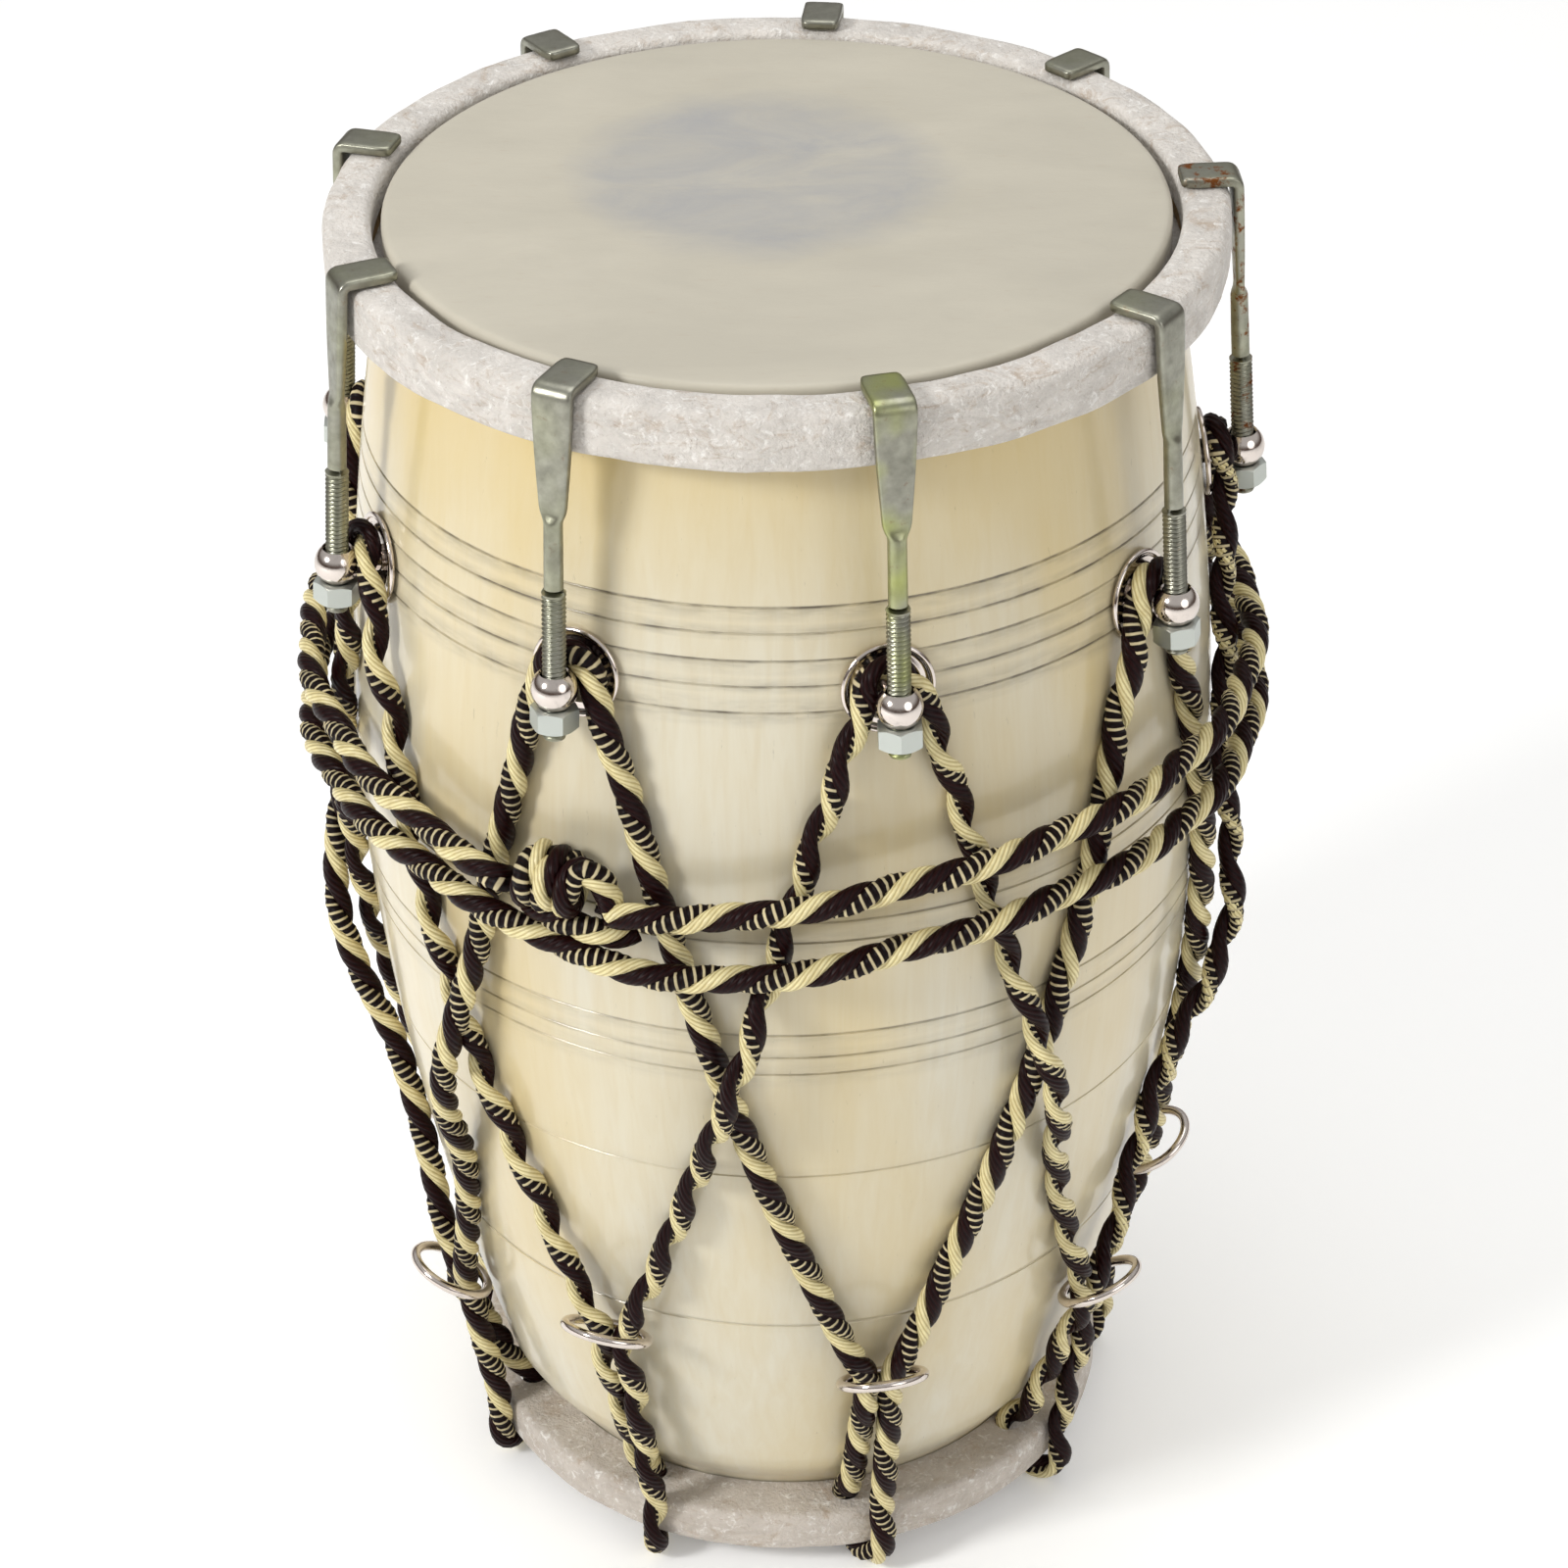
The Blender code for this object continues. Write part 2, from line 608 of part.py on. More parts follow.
def leg_points(hook, lace, over):
    """Cord from the right or left of one hook's post down to the ring pair of the next lace."""
    side = 1 if lace > hook else -1
    bight = EYE_HEIGHT
    first = fitting_angle(hook) + side * BIGHT_RADIUS / shell_radius(bight)
    ring = ring_height(lace)
    last = fitting_angle(lace) - side * PAIR_HALF / ring_cord_radius(lace)
    middle = (fitting_angle(hook) + fitting_angle(lace)) / 2
    points = []
    for height, share in zip(*taut_stations(bight, ring, OVER_STATIONS if over else UNDER_STATIONS)):
        angle = first + (last - first) * share
        cover = COVER
        if bight - height < 2 * WASHER_RADIUS:
            cover += WASHER_THICKNESS + 3 * GAP
        if over:
            crossing = abs(angle - middle) / (CROSSING_REACH * FITTING_STEP)
            cover += (OVER_LIFT + 4 * GAP) * math.cos(min(crossing, 1) * math.pi / 2) ** 2
        radius = shell_radius(height) + cover
        rise = max(0.0, 1 - (height - ring) / RING_RISE_LENGTH)
        rise = rise * rise * (3 - 2 * rise)
        radius += (ring_cord_radius(lace) - shell_radius(ring) - COVER) * rise
        points.append(around(angle, radius, height))
    return points


def bight_points(hook):
    """Cord over the post, from its left to its right."""
    _, normal = eye_frame()
    cover = COVER + WASHER_THICKNESS + GAP
    middle = EYE_HEIGHT + normal[1] * cover
    points = []
    for turn in (-90, -50, -17, 17, 50, 90):
        swing = math.radians(turn)
        height = middle + BIGHT_RADIUS * math.cos(swing)
        radius = shell_radius(height) + cover / normal[0]
        angle = fitting_angle(hook) + BIGHT_RADIUS * math.sin(swing) / radius
        points.append(around(angle, radius, height))
    return points


def lace_points(lace):
    """Cord at the lower hoop: down through the punched hole, under the hoop and up its outer face."""
    centre = fitting_angle(lace)
    ring = ring_height(lace)
    top = ring_cord_radius(lace)
    shoulder = shell_radius(LOWER_SHOULDER + SHOULDER_REST) + COVER + 3 * GAP
    kink = ring - (RING_MEAN - RING_SHIFT) * math.sin(RING_LEAN)
    run = kink - LOWER_SHOULDER - SHOULDER_REST
    inside = [(top - share * (top - shoulder), kink - share * run) for share in (0, 0.5, 1)]
    inside += [
        ((shoulder + LACE_HOLE_CENTRE) / 2 + 4 * GAP, LOWER_HOOP_TOP + FLARE_REST),
        (LACE_HOLE_CENTRE + CORD_SLACK, LOWER_HOOP_TOP + HOLE_ENTRY),
    ]
    bend = (LACE_OUTER_CENTRE - LACE_HOLE_CENTRE) / 2
    middle = LACE_HOLE_CENTRE + bend
    level = FLOOR_CLEARANCE + ROPE_RADIUS + bend
    inside_angle, outside_angle = centre - PAIR_HALF / middle, centre + PAIR_HALF / middle
    points = []
    for radius, height in inside:
        points.append(around(centre - PAIR_HALF / radius, radius, height))
    for number in range(7):
        turn = math.pi * number / 6
        angle = inside_angle + (outside_angle - inside_angle) * (1 - math.cos(turn)) / 2
        radius = middle - bend * math.cos(turn)
        points.append(around(angle, radius, level - bend * math.sin(turn)))
    face = LOWER_HOOP_TOP + HOOP_EXIT
    outside = [(LACE_OUTER_CENTRE, face)]
    outside += [(LACE_OUTER_CENTRE + share * (top - LACE_OUTER_CENTRE), face + share * (ring - face))
                for share in (0.4, 0.75)]
    for radius, height in outside:
        points.append(around(centre + PAIR_HALF / radius, radius, height))
    return points


def make_lacing(cord):
    """One closed cord: over a post, down to the next lace, up to the post after it, twice round."""
    points = []
    for step in range(FITTINGS):
        hook = 2 * step
        lace = hook + 1
        points += bight_points(hook)
        points += leg_points(hook, lace, over=hook >= FITTINGS)
        points += lace_points(lace)
        points += leg_points(lace + 1, lace, over=lace >= FITTINGS)[::-1]
    tube("lacing_cord", points, True, cord)


def belt_height(strand, angle):
    """Height of the upper (0) or lower (1) strand, sagging to the right of the knot."""
    away = (angle - FIRST_FITTING - BELT_SAG_ANGLES[strand] + math.pi) % (2 * math.pi) - math.pi
    sag = BELT_SAGS[strand] * math.exp(-((away / BELT_SAG_WIDTHS[strand]) ** 2))
    return EYE_HEIGHT - BELT_DROPS[strand] - sag


def make_belt(cord, tie):
    """A cord drawn twice round over the lacing; its turns change places behind, and a knot joins it."""
    knot_height = EYE_HEIGHT - KNOT_DROP
    knot_radius = shell_radius(knot_height) + KNOT_HALF_DEPTH + 2 * GAP
    clear = (KNOT_HALF_WIDTH + 2 * GAP) / knot_radius
    swap_place = FITTINGS // 2 * FITTING_STEP
    steps = 2 * FITTINGS * BELT_STATIONS
    between_ends = [FITTING_STEP * number / BELT_STATIONS for number in range(2, steps - 1)]
    points = []
    for turned in (clear, *between_ends, 4 * math.pi - clear):
        angle = FIRST_FITTING + turned
        second_turn = turned >= 2 * math.pi
        from_swap = turned - swap_place - (2 * math.pi if second_turn else 0)
        swap = min(max(from_swap / BELT_SWAP_WIDTH + 0.5, 0), 1)
        swap = swap * swap * (3 - 2 * swap)
        lower_share = 1 - swap if second_turn else swap
        height = belt_height(0, angle) * (1 - lower_share) + belt_height(1, angle) * lower_share
        between = abs((turned + FITTING_STEP / 4) % (FITTING_STEP / 2) - FITTING_STEP / 4)
        dip, reach = BELT_DIP, BELT_DIP_REACH
        if abs(from_swap) < FITTING_STEP / 4:
            dip, reach = (-8 * GAP, BELT_SWAP_REACH) if second_turn else (OVER_LIFT, BELT_SWAP_REACH)
        cover = COVER + OVER_LIFT + 3 * GAP
        if between < reach:
            cover -= dip * math.cos(between / reach * math.pi / 2) ** 2
        points.append(around(angle, shell_radius(height) + cover, height))
    tube("belt_cord", points, False, cord)
    bm = bmesh.new()
    bmesh.ops.create_uvsphere(bm, u_segments=12, v_segments=8, radius=1.0)
    size = Matrix.Diagonal((KNOT_HALF_DEPTH, KNOT_HALF_WIDTH, KNOT_HALF_HEIGHT, 1))
    bm.transform(size)
    knot = add_object("belt_knot", mesh_from(bm, "belt_knot", smooth_angle=80), tie)
    place(knot, FIRST_FITTING, knot_radius, knot_height)


def clear_scene():
    for piece in list(bpy.data.objects):
        bpy.data.objects.remove(piece)


def main():
    clear_scene()
    wood = make_material("lacquered_wood", (0.72, 0.62, 0.37), 0.3)
    hide = make_material("rawhide", (0.66, 0.62, 0.55), 0.6)
    cane = make_material("cane", (0.45, 0.33, 0.18), 0.7)
    iron = make_material("iron", (0.2, 0.19, 0.18), 0.5, 1.0)
    paste = make_material("tuning_paste", (0.12, 0.12, 0.11), 0.9)
    zinc = make_material("zinc_plated_steel", (0.52, 0.55, 0.51), 0.4, 1.0)
    chrome = make_material("chrome_plate", (0.75, 0.71, 0.68), 0.15, 1.0)
    cord = make_material("twisted_cord", (0.12, 0.05, 0.04), 0.6)
    tie = make_material("knotted_cord", (0.25, 0.2, 0.14), 0.6)
    make_shell(wood)
    make_heads(hide, cane, iron, paste)
    make_fittings(zinc, chrome)
    make_rings(chrome)
    make_lacing(cord)
    make_belt(cord, tie)


main()
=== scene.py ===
"""The finished look of a barrel drum with a bolt-tuned upper head and a rope-laced lower head.

Metres, +Z up. The drum stands on its lower skin at z = 0, and its axis is the Z axis.
Angles round the drum are measured from the front (-Y) towards +X.
"""

import math

import bpy
import numpy as np
from bpy.props import FloatProperty, FloatVectorProperty, IntProperty, PointerProperty
from mathutils import Matrix, Vector, noise


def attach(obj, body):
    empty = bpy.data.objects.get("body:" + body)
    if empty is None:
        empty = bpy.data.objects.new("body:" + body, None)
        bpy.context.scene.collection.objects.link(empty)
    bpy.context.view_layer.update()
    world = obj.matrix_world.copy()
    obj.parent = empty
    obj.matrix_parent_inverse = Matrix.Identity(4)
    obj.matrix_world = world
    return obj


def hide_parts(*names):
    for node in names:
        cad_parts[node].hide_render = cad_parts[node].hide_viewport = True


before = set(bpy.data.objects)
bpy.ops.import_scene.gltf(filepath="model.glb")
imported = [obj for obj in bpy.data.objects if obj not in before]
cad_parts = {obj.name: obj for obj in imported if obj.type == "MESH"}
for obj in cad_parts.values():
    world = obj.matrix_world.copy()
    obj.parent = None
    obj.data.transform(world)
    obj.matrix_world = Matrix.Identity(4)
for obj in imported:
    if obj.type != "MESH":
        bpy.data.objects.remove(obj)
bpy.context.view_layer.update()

bl_info = {
    "name": "Barrel drum",
    "version": (1, 0, 0),
    "blender": (4, 5, 0),
    "location": "3D View > Sidebar > Drum",
    "description": "Builds a lacquered barrel drum with hide heads, hook bolts and twisted cord lacing",
    "category": "Add Mesh",
}

# The drum's own sizes, as its frame holds them.
TOTAL_HEIGHT = 0.4044
BELLY_RADIUS = 0.1212
BELLY_HEIGHT = 0.240
BARREL_POWER = 1.7
UPPER_STEP = 0.0016
FOOT_HEIGHT = 0.0158
FLARE_SHARE = 0.42
FLARE_RISE = 0.0062
FLARE_TOP = 0.0118
UPPER_SHOULDER_RADIUS = 0.1068
LOWER_SHOULDER_RADIUS = 0.0898
SHELL_WALL = 0.009
HIDE = 0.0012
GAP = 0.0003
UPPER_SKIRT_RADIUS = 0.1045
UPPER_HOOP_INNER = 0.107
UPPER_HOOP_WIDTH = 0.013
UPPER_HOOP_DEPTH = 0.0163
UPPER_HOOP_RISE = 0.0004
LOWER_SKIRT_RADIUS = 0.0808
LOWER_HOOP_BAND = 0.0058
LOWER_HOOP_DEPTH = 0.0135
LAP = 0.0085
ROPE_DIAMETER = 0.0072
PAIR_GAP = 0.0004
FLOOR_CLEARANCE = 0.0008
HOLE_CLEARANCE = 0.0005
CORD_SLACK = 0.0001
SHOULDER_REST = 0.006
FLARE_REST = 0.0102
HOLE_ENTRY = 0.001
HOOP_EXIT = 0.002
LEG_TURN_POWER = 3.5
RING_RISE_LENGTH = 0.045
CROSSING_REACH = 0.17
FITTINGS = 9
FIRST_FITTING = math.radians(-26.8)
EYE_DROP = 0.0814
POST_RADIUS = 0.0034
POST_DEPTH = 0.007
WASHER_RADIUS = 0.0125
WASHER_THICKNESS = 0.0012
BALL_RADIUS = 0.0061
BALL_HALF_HEIGHT = 0.0046
BOLT_DIAMETER = 0.00635
BOLT_CLEARANCE = 0.0004
ROD_RADIUS = 0.0025
STRAP_WIDTH = 0.011
STRAP_THICKNESS = 0.003
STRAP_GAP = 0.0007
STRAP_LENGTH = 0.034
SHANK_LENGTH = 0.021
BOLT_TAIL = 0.003
NUT_FLATS = 0.0111
NUT_HEIGHT = 0.006
RING_WIRE = 0.0029
RING_SLACK = 0.0031
RING_LEAN = math.radians(32)
RING_RISES = (0.078, 0.065, 0.064, 0.058, 0.067, 0.055, 0.070, 0.061, 0.051)
BELT_DROPS = (0.047, 0.066)
BELT_SAGS = (0.014, 0.012)
BELT_SAG_ANGLES = (math.radians(5), math.radians(15))
BELT_SAG_WIDTHS = (math.radians(32), math.radians(25))
BELT_DIP = 0.0011
BELT_DIP_REACH = math.radians(6)
BELT_SWAP_WIDTH = math.radians(36)
BELT_SWAP_REACH = math.radians(8.5)
BELT_STATIONS = 6
KNOT_HALF_DEPTH = 0.0075
KNOT_DROP = 0.0565
LEG_STATIONS = 9

ROPE_RADIUS = ROPE_DIAMETER / 2
PAIR_HALF = (ROPE_DIAMETER + PAIR_GAP) / 2
FITTING_STEP = 2 * math.pi / FITTINGS
UPPER_HOOP_TOP = TOTAL_HEIGHT + UPPER_HOOP_RISE
UPPER_HOOP_BOTTOM = UPPER_HOOP_TOP - UPPER_HOOP_DEPTH
UPPER_HOOP_RADIUS = UPPER_HOOP_INNER + UPPER_HOOP_WIDTH
UPPER_SHOULDER = UPPER_HOOP_BOTTOM - 2 * GAP - UPPER_STEP
LOWER_HOOP_BOTTOM = FLOOR_CLEARANCE + ROPE_DIAMETER + HOLE_CLEARANCE
LOWER_HOOP_TOP = LOWER_HOOP_BOTTOM + LOWER_HOOP_DEPTH
LOWER_HOOP_INNER = LOWER_SKIRT_RADIUS + GAP + ROPE_DIAMETER + HOLE_CLEARANCE
LOWER_HOOP_RADIUS = LOWER_HOOP_INNER + LOWER_HOOP_BAND
LOWER_SHOULDER = LOWER_HOOP_TOP + FOOT_HEIGHT
LACE_HOLE_CENTRE = LOWER_SKIRT_RADIUS + GAP + ROPE_RADIUS
LACE_OUTER_CENTRE = LOWER_HOOP_RADIUS + GAP + ROPE_RADIUS
COVER = GAP + ROPE_RADIUS
OVER_LIFT = ROPE_DIAMETER + GAP
BIGHT_RADIUS = POST_RADIUS + GAP + ROPE_RADIUS
EYE_HEIGHT = TOTAL_HEIGHT - EYE_DROP
STANDOFF = WASHER_THICKNESS + 2 * GAP + ROPE_DIAMETER + BOLT_DIAMETER / 2 + CORD_SLACK
RING_MEAN = ROPE_DIAMETER + PAIR_GAP / 2 + RING_SLACK + RING_WIRE / 2
RING_SHIFT = 1.25 * RING_SLACK

# Where the heads and the knot take their finer shape.
HIDE_BEND_STEPS = 6
UPPER_ROW_SPACING = 0.0035
LOWER_ROW_SPACING = 0.003
KNOT_TURNS = 2.25
KNOT_STEPS = 30

# The cord's strands and how they differ: share of the cord's radius, sides, and spacing along it.
STRANDS = ("gold", "maroon", "wrapped")
GOLD_SHARE = 0.42
DARK_SHARE = 0.53
SMOOTH_SIDES = 10
RIBBED_SIDES = 8
SMOOTH_SPACING = 0.0016
RIB_SAMPLES = 3.4
RIB_DEPTH = 0.07
STRAND_FLATTENING = 1.18

# The stage: lights as (name, place, diameter, watts), and the camera's stand.
LIGHTS = (
    ("key", (-1.5, -1.0, 1.35), 0.5, 25.5),
    ("fill", (1.5, -1.6, 1.2), 1.6, 10),
    ("top", (0.1, 0.4, 2.2), 1.8, 14.5),
)
LIGHT_AIM = (0, 0, 0.22)
ROOM_STRENGTH = 0.54
FLOOR_GLOW = 0.16
CAMERA_PLACE = (0, -1.0375, 0.9078)
CAMERA_LENS = 99.3
CAMERA_PITCH = math.radians(33.59)
CAMERA_ROLL = -0.0126

# Turned lines: height of each groove, and how dark the wear has left it.
GROOVES = (
    (0.3463, 0.9), (0.3392, 0.9), (0.3317, 0.75), (0.3246, 0.8), (0.3173, 0.85),
    (0.2552, 0.6), (0.2491, 0.6),
    (0.2186, 0.55), (0.2109, 0.5), (0.2050, 0.45),
    (0.1670, 0.15), (0.1050, 0.12),
)


# ---------------------------------------------------------------- sizes and colours

def linear(hex_colour):
    """A linear RGB triple from an sRGB hex colour."""
    values = [int(hex_colour[place:place + 2], 16) / 255 for place in (1, 3, 5)]
    return tuple(v / 12.92 if v <= 0.04045 else ((v + 0.055) / 1.055) ** 2.4 for v in values)


def colour_property(name, description, hex_colour):
    return FloatVectorProperty(
        name=name, description=description, subtype="COLOR", size=3, min=0, max=1, default=linear(hex_colour)
    )


def length_property(name, description, default):
    return FloatProperty(
        name=name, description=description, default=default,
        min=0, precision=5, unit="LENGTH", subtype="DISTANCE",
    )


class DrumSizes(bpy.types.PropertyGroup):
    cord_thickness: length_property("Cord", "Diameter of the twisted cord", 0.0077)
    lay_length: length_property("Lay", "Length of one full turn of the cord's strands", 0.0255)
    wrap_spacing: length_property("Wrapping", "Spacing of the thread wound round the black strand", 0.0022)
    groove_width: length_property("Groove width", "Width of the turned lines", 0.0008)
    groove_depth: length_property("Groove depth", "Depth of the turned lines", 0.0004)
    thread_pitch: length_property("Thread pitch", "Pitch of the quarter-inch bolt thread", 0.00127)
    hide_waviness: length_property("Hide waviness", "How uneven the hide lies over the hoops", 0.0005)
    turning_steps: IntProperty(
        name="Turning steps", description="Facets round the shell and the heads", default=180
    )


class DrumColours(bpy.types.PropertyGroup):
    wood: colour_property("Wood", "Pale lacquered wood", "#D3CCB6")
    wood_streak: colour_property("Wood streak", "Darker grain streaks", "#CABC9A")
    # Amber: random patches of thicker lacquer, and also the painted shade beneath the upper hoop.
    wood_amber: colour_property("Amber", "Amber where the lacquer is thick", "#CFB776")
    groove: colour_property("Groove", "Burnt turned lines", "#33271C")
    skin: colour_property("Skin", "Drum skin", "#B6B0A0")
    skin_smudge: colour_property("Smudge", "Grey bloom of the paste seen through the skin", "#A09F9D")
    lap: colour_property("Hide lap", "Scraped hide over the hoops", "#D6D0C8")
    lap_stain: colour_property("Lap stain", "Stains on the hide lap", "#A8937C")
    zinc: colour_property("Zinc", "Zinc-plated hooks and nuts", "#9D9C8F")
    plate: colour_property("Nickel plate", "Balls, washers and slip rings", "#D9CFC7")
    gold_strand: colour_property("Gold strand", "Satin gold strand", "#EFE3AE")
    maroon_strand: colour_property("Maroon strand", "Dark satin strand", "#200505")
    black_strand: colour_property("Black strand", "Core of the wrapped strand", "#070405")
    wrap_thread: colour_property("Wrap thread", "Pale thread round the black strand", "#DCCDA4")


# ---------------------------------------------------------------- the drum's own shape

def shell_radius(height):
    if height >= BELLY_HEIGHT:
        end_radius, end = UPPER_SHOULDER_RADIUS, UPPER_SHOULDER
    else:
        end_radius, end = LOWER_SHOULDER_RADIUS, LOWER_SHOULDER
    share = abs(height - BELLY_HEIGHT) / abs(end - BELLY_HEIGHT)
    return BELLY_RADIUS - (BELLY_RADIUS - end_radius) * share**BARREL_POWER


def shell_slope(height):
    step = 0.0005
    return (shell_radius(height + step) - shell_radius(height - step)) / (2 * step)


def around(angle, radius, height):
    return Vector((radius * math.sin(angle), -radius * math.cos(angle), height))


def fitting_angle(number):
    return FIRST_FITTING + number * FITTING_STEP


def eye_frame():
    """The (radius, height) of the ball's centre, and the wood's outward normal at the eye."""
    normal = Vector((1, -shell_slope(EYE_HEIGHT))).normalized()
    return Vector((shell_radius(EYE_HEIGHT), EYE_HEIGHT)) + normal * STANDOFF, normal


def strap_top():
    return Vector(
        (UPPER_HOOP_RADIUS + STRAP_GAP + STRAP_THICKNESS / 2, UPPER_HOOP_TOP + GAP + STRAP_THICKNESS / 2)
    )


def bolt_direction():
    return (strap_top() - eye_frame()[0]).normalized()


# ---------------------------------------------------------------- modelling helpers

def clear_selection():
    if bpy.context.mode != "OBJECT":
        bpy.ops.object.mode_set(mode="OBJECT")
    bpy.ops.object.select_all(action="DESELECT")


def pick(piece):
    clear_selection()
    bpy.context.view_layer.objects.active = piece
    piece.select_set(True)


def object_from(name, points, edges, faces):
    mesh = bpy.data.meshes.new(name)
    mesh.from_pydata([tuple(point) for point in points], edges, faces)
    piece = bpy.data.objects.new(name, mesh)
    bpy.context.scene.collection.objects.link(piece)
    pick(piece)
    return piece


def smooth_shade(piece, angle=40):
    pick(piece)
    bpy.ops.object.shade_smooth_by_angle(angle=math.radians(angle))


def turned(name, outline, steps, closed=False, angle=40):
    """Spin an outline of (radius, height) points about the Z axis, as on a lathe."""
    points = [(radius, 0, height) for radius, height in outline]
    edges = [(place, place + 1) for place in range(len(points) - 1)]
    if closed:
        edges.append((len(points) - 1, 0))
    piece = object_from(name, points, edges, [])
    bpy.ops.object.mode_set(mode="EDIT")
    bpy.ops.mesh.select_all(action="SELECT")
    bpy.ops.mesh.spin(steps=steps, angle=2 * math.pi, center=(0, 0, 0), axis=(0, 0, 1))
    bpy.ops.mesh.select_all(action="SELECT")
    bpy.ops.mesh.remove_doubles(threshold=1e-6)
    bpy.ops.mesh.normals_make_consistent(inside=False)
    bpy.ops.object.mode_set(mode="OBJECT")
    smooth_shade(piece, angle)
    return piece


def apply_modifier(piece, kind, **settings):
    pick(piece)
    modifier = piece.modifiers.new(kind.lower(), kind)
    for name, value in settings.items():
        setattr(modifier, name, value)
    bpy.ops.object.modifier_apply(modifier=modifier.name)


def cut_with(piece, tool, operation):
    apply_modifier(piece, "BOOLEAN", operation=operation, object=tool, solver="EXACT")
    bpy.data.objects.remove(tool)


def rounded(corners, segments=5):
    """An outline whose corners, given as (radius, height, rounding), become arcs."""
    outline = []
    for place, (radius, height, rounding) in enumerate(corners):
        here = Vector((radius, height))
        if not rounding:
            outline.append(tuple(here))
            continue
        before = Vector(corners[place - 1][:2])
        after = Vector(corners[(place + 1) % len(corners)][:2])
        start = here + (before - here).normalized() * rounding
        end = here + (after - here).normalized() * rounding
        for step in range(segments + 1):
            share = step / segments
            point = start * (1 - share) ** 2 + here * (2 * share * (1 - share)) + end * share**2
            outline.append(tuple(point))
    return outline


def stretch_rows(outline, spacing):
    """The same outline with points added so that none are further apart than the spacing."""
    made = [outline[0]]
    for here, after in zip(outline, outline[1:]):
        count = max(1, math.ceil(math.dist(here, after) / spacing))
        across = np.array(after) - here
        made += [tuple(np.array(here) + across * step / count) for step in range(1, count + 1)]
    return made


def points_of(piece):
    points = np.empty(len(piece.data.vertices) * 3)
    piece.data.vertices.foreach_get("co", points)
    return points.reshape(-1, 3)


def set_points(piece, points):
    piece.data.vertices.foreach_set("co", np.asarray(points, dtype=np.float32).ravel())
    piece.data.update()


def ruffle(piece, amount, size, seed, chosen):
    """Push the chosen points along their normals by smooth noise of this grain size."""
    points = points_of(piece)
    offset = Vector((seed, seed, seed))
    for vertex in piece.data.vertices:
        weight = chosen(vertex.co)
        if weight:
            broad = noise.noise(vertex.co / size + offset)
            push = broad + 0.5 * noise.noise(vertex.co / size * 2.3 - offset)
            points[vertex.index] += np.array(vertex.normal) * push * amount * weight
    set_points(piece, points)


def copy_round(template, number, name):
    """A copy of a piece made at the +X side, turned to fitting number, with its own mesh."""
    mesh = template.data.copy()
    mesh.name = name
    mesh.transform(Matrix.Rotation(fitting_angle(number) - math.pi / 2, 4, "Z"))
    piece = bpy.data.objects.new(name, mesh)
    bpy.context.scene.collection.objects.link(piece)
    return piece


def settle(piece, material, body, slot, *nodes):
    """Give a finished piece its material and its body, and hide the nodes that it stands for. The slot is
    not used.
    """
    if material is not None:
        piece.data.materials.clear()
        piece.data.materials.append(material)
    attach(piece, body)
    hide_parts(*nodes)


# ---------------------------------------------------------------- material helpers

def new_material(name, **shader_values):
    """A Principled material; shader values are set on the shader's own sockets."""
    material = bpy.data.materials.new(name)
    material.use_nodes = True
    shader = material.node_tree.nodes["Principled BSDF"]
    for socket, value in shader_values.items():
        value = (*value, 1) if isinstance(value, tuple) and len(value) == 3 else value
        shader.inputs[socket.replace("_", " ")].default_value = value
    return material, material.node_tree, shader


def add_node(tree, kind, inputs=None, **settings):
    """Add a node, set it, and give each input a value or a link from another node's output."""
    node = tree.nodes.new(kind)
    for name, value in settings.items():
        setattr(node, name, value)
    for name, value in (inputs or {}).items():
        if isinstance(value, bpy.types.NodeSocket):
            tree.links.new(value, node.inputs[name])
        else:
            node.inputs[name].default_value = value
    return node


def grain(tree, size, detail=4.0, roughness=0.55, stretch=(1, 1, 1), distortion=0.0):
    """Noise on object coordinates whose grain is this many metres; stretch lengthens it by axis."""
    place = add_node(tree, "ShaderNodeTexCoord").outputs["Object"]
    scale = tuple(1 / (size * along) for along in stretch)
    mapped = add_node(tree, "ShaderNodeMapping", {"Vector": place, "Scale": scale}).outputs["Vector"]
    inputs = {"Vector": mapped, "Scale": 1.0, "Detail": detail, "Roughness": roughness}
    inputs["Distortion"] = distortion
    return add_node(tree, "ShaderNodeTexNoise", inputs).outputs["Fac"]


def drum_height(tree):
    """Height above the floor, in metres."""
    place = add_node(tree, "ShaderNodeTexCoord").outputs["Object"]
    return add_node(tree, "ShaderNodeSeparateXYZ", {"Vector": place}).outputs["Z"]


def spread(tree, value, low, high, to_low=0.0, to_high=1.0):
    """The value with low..high stretched to to_low..to_high, and held there."""
    inputs = {"Value": value, "From Min": low, "From Max": high, "To Min": to_low, "To Max": to_high}
    return add_node(tree, "ShaderNodeMapRange", inputs).outputs["Result"]


def blend_colour(tree, factor, first, second):
    """Between two colours, each a triple or another node's output."""
    node = add_node(tree, "ShaderNodeMix", data_type="RGBA")
    for socket, value in ((node.inputs[0], factor), (node.inputs[6], first), (node.inputs[7], second)):
        if isinstance(value, bpy.types.NodeSocket):
            tree.links.new(value, socket)
        elif isinstance(value, (int, float)):
            socket.default_value = value
        else:
            socket.default_value = (*value, 1)
    return node.outputs[2]


def calculate(tree, operation, *values):
    """One sum on one, two or three values, each a number or another node's output."""
    return add_node(tree, "ShaderNodeMath", dict(enumerate(values)), operation=operation).outputs[0]


def add_bump(tree, shader, height, distance):
    bump = add_node(tree, "ShaderNodeBump", {"Height": height, "Distance": distance, "Strength": 1.0})
    tree.links.new(bump.outputs["Normal"], shader.inputs["Normal"])


def paint(tree, shader, colour, roughness=None):
    tree.links.new(colour, shader.inputs["Base Color"])
    if roughness is not None:
        tree.links.new(roughness, shader.inputs["Roughness"])


# ---------------------------------------------------------------- materials

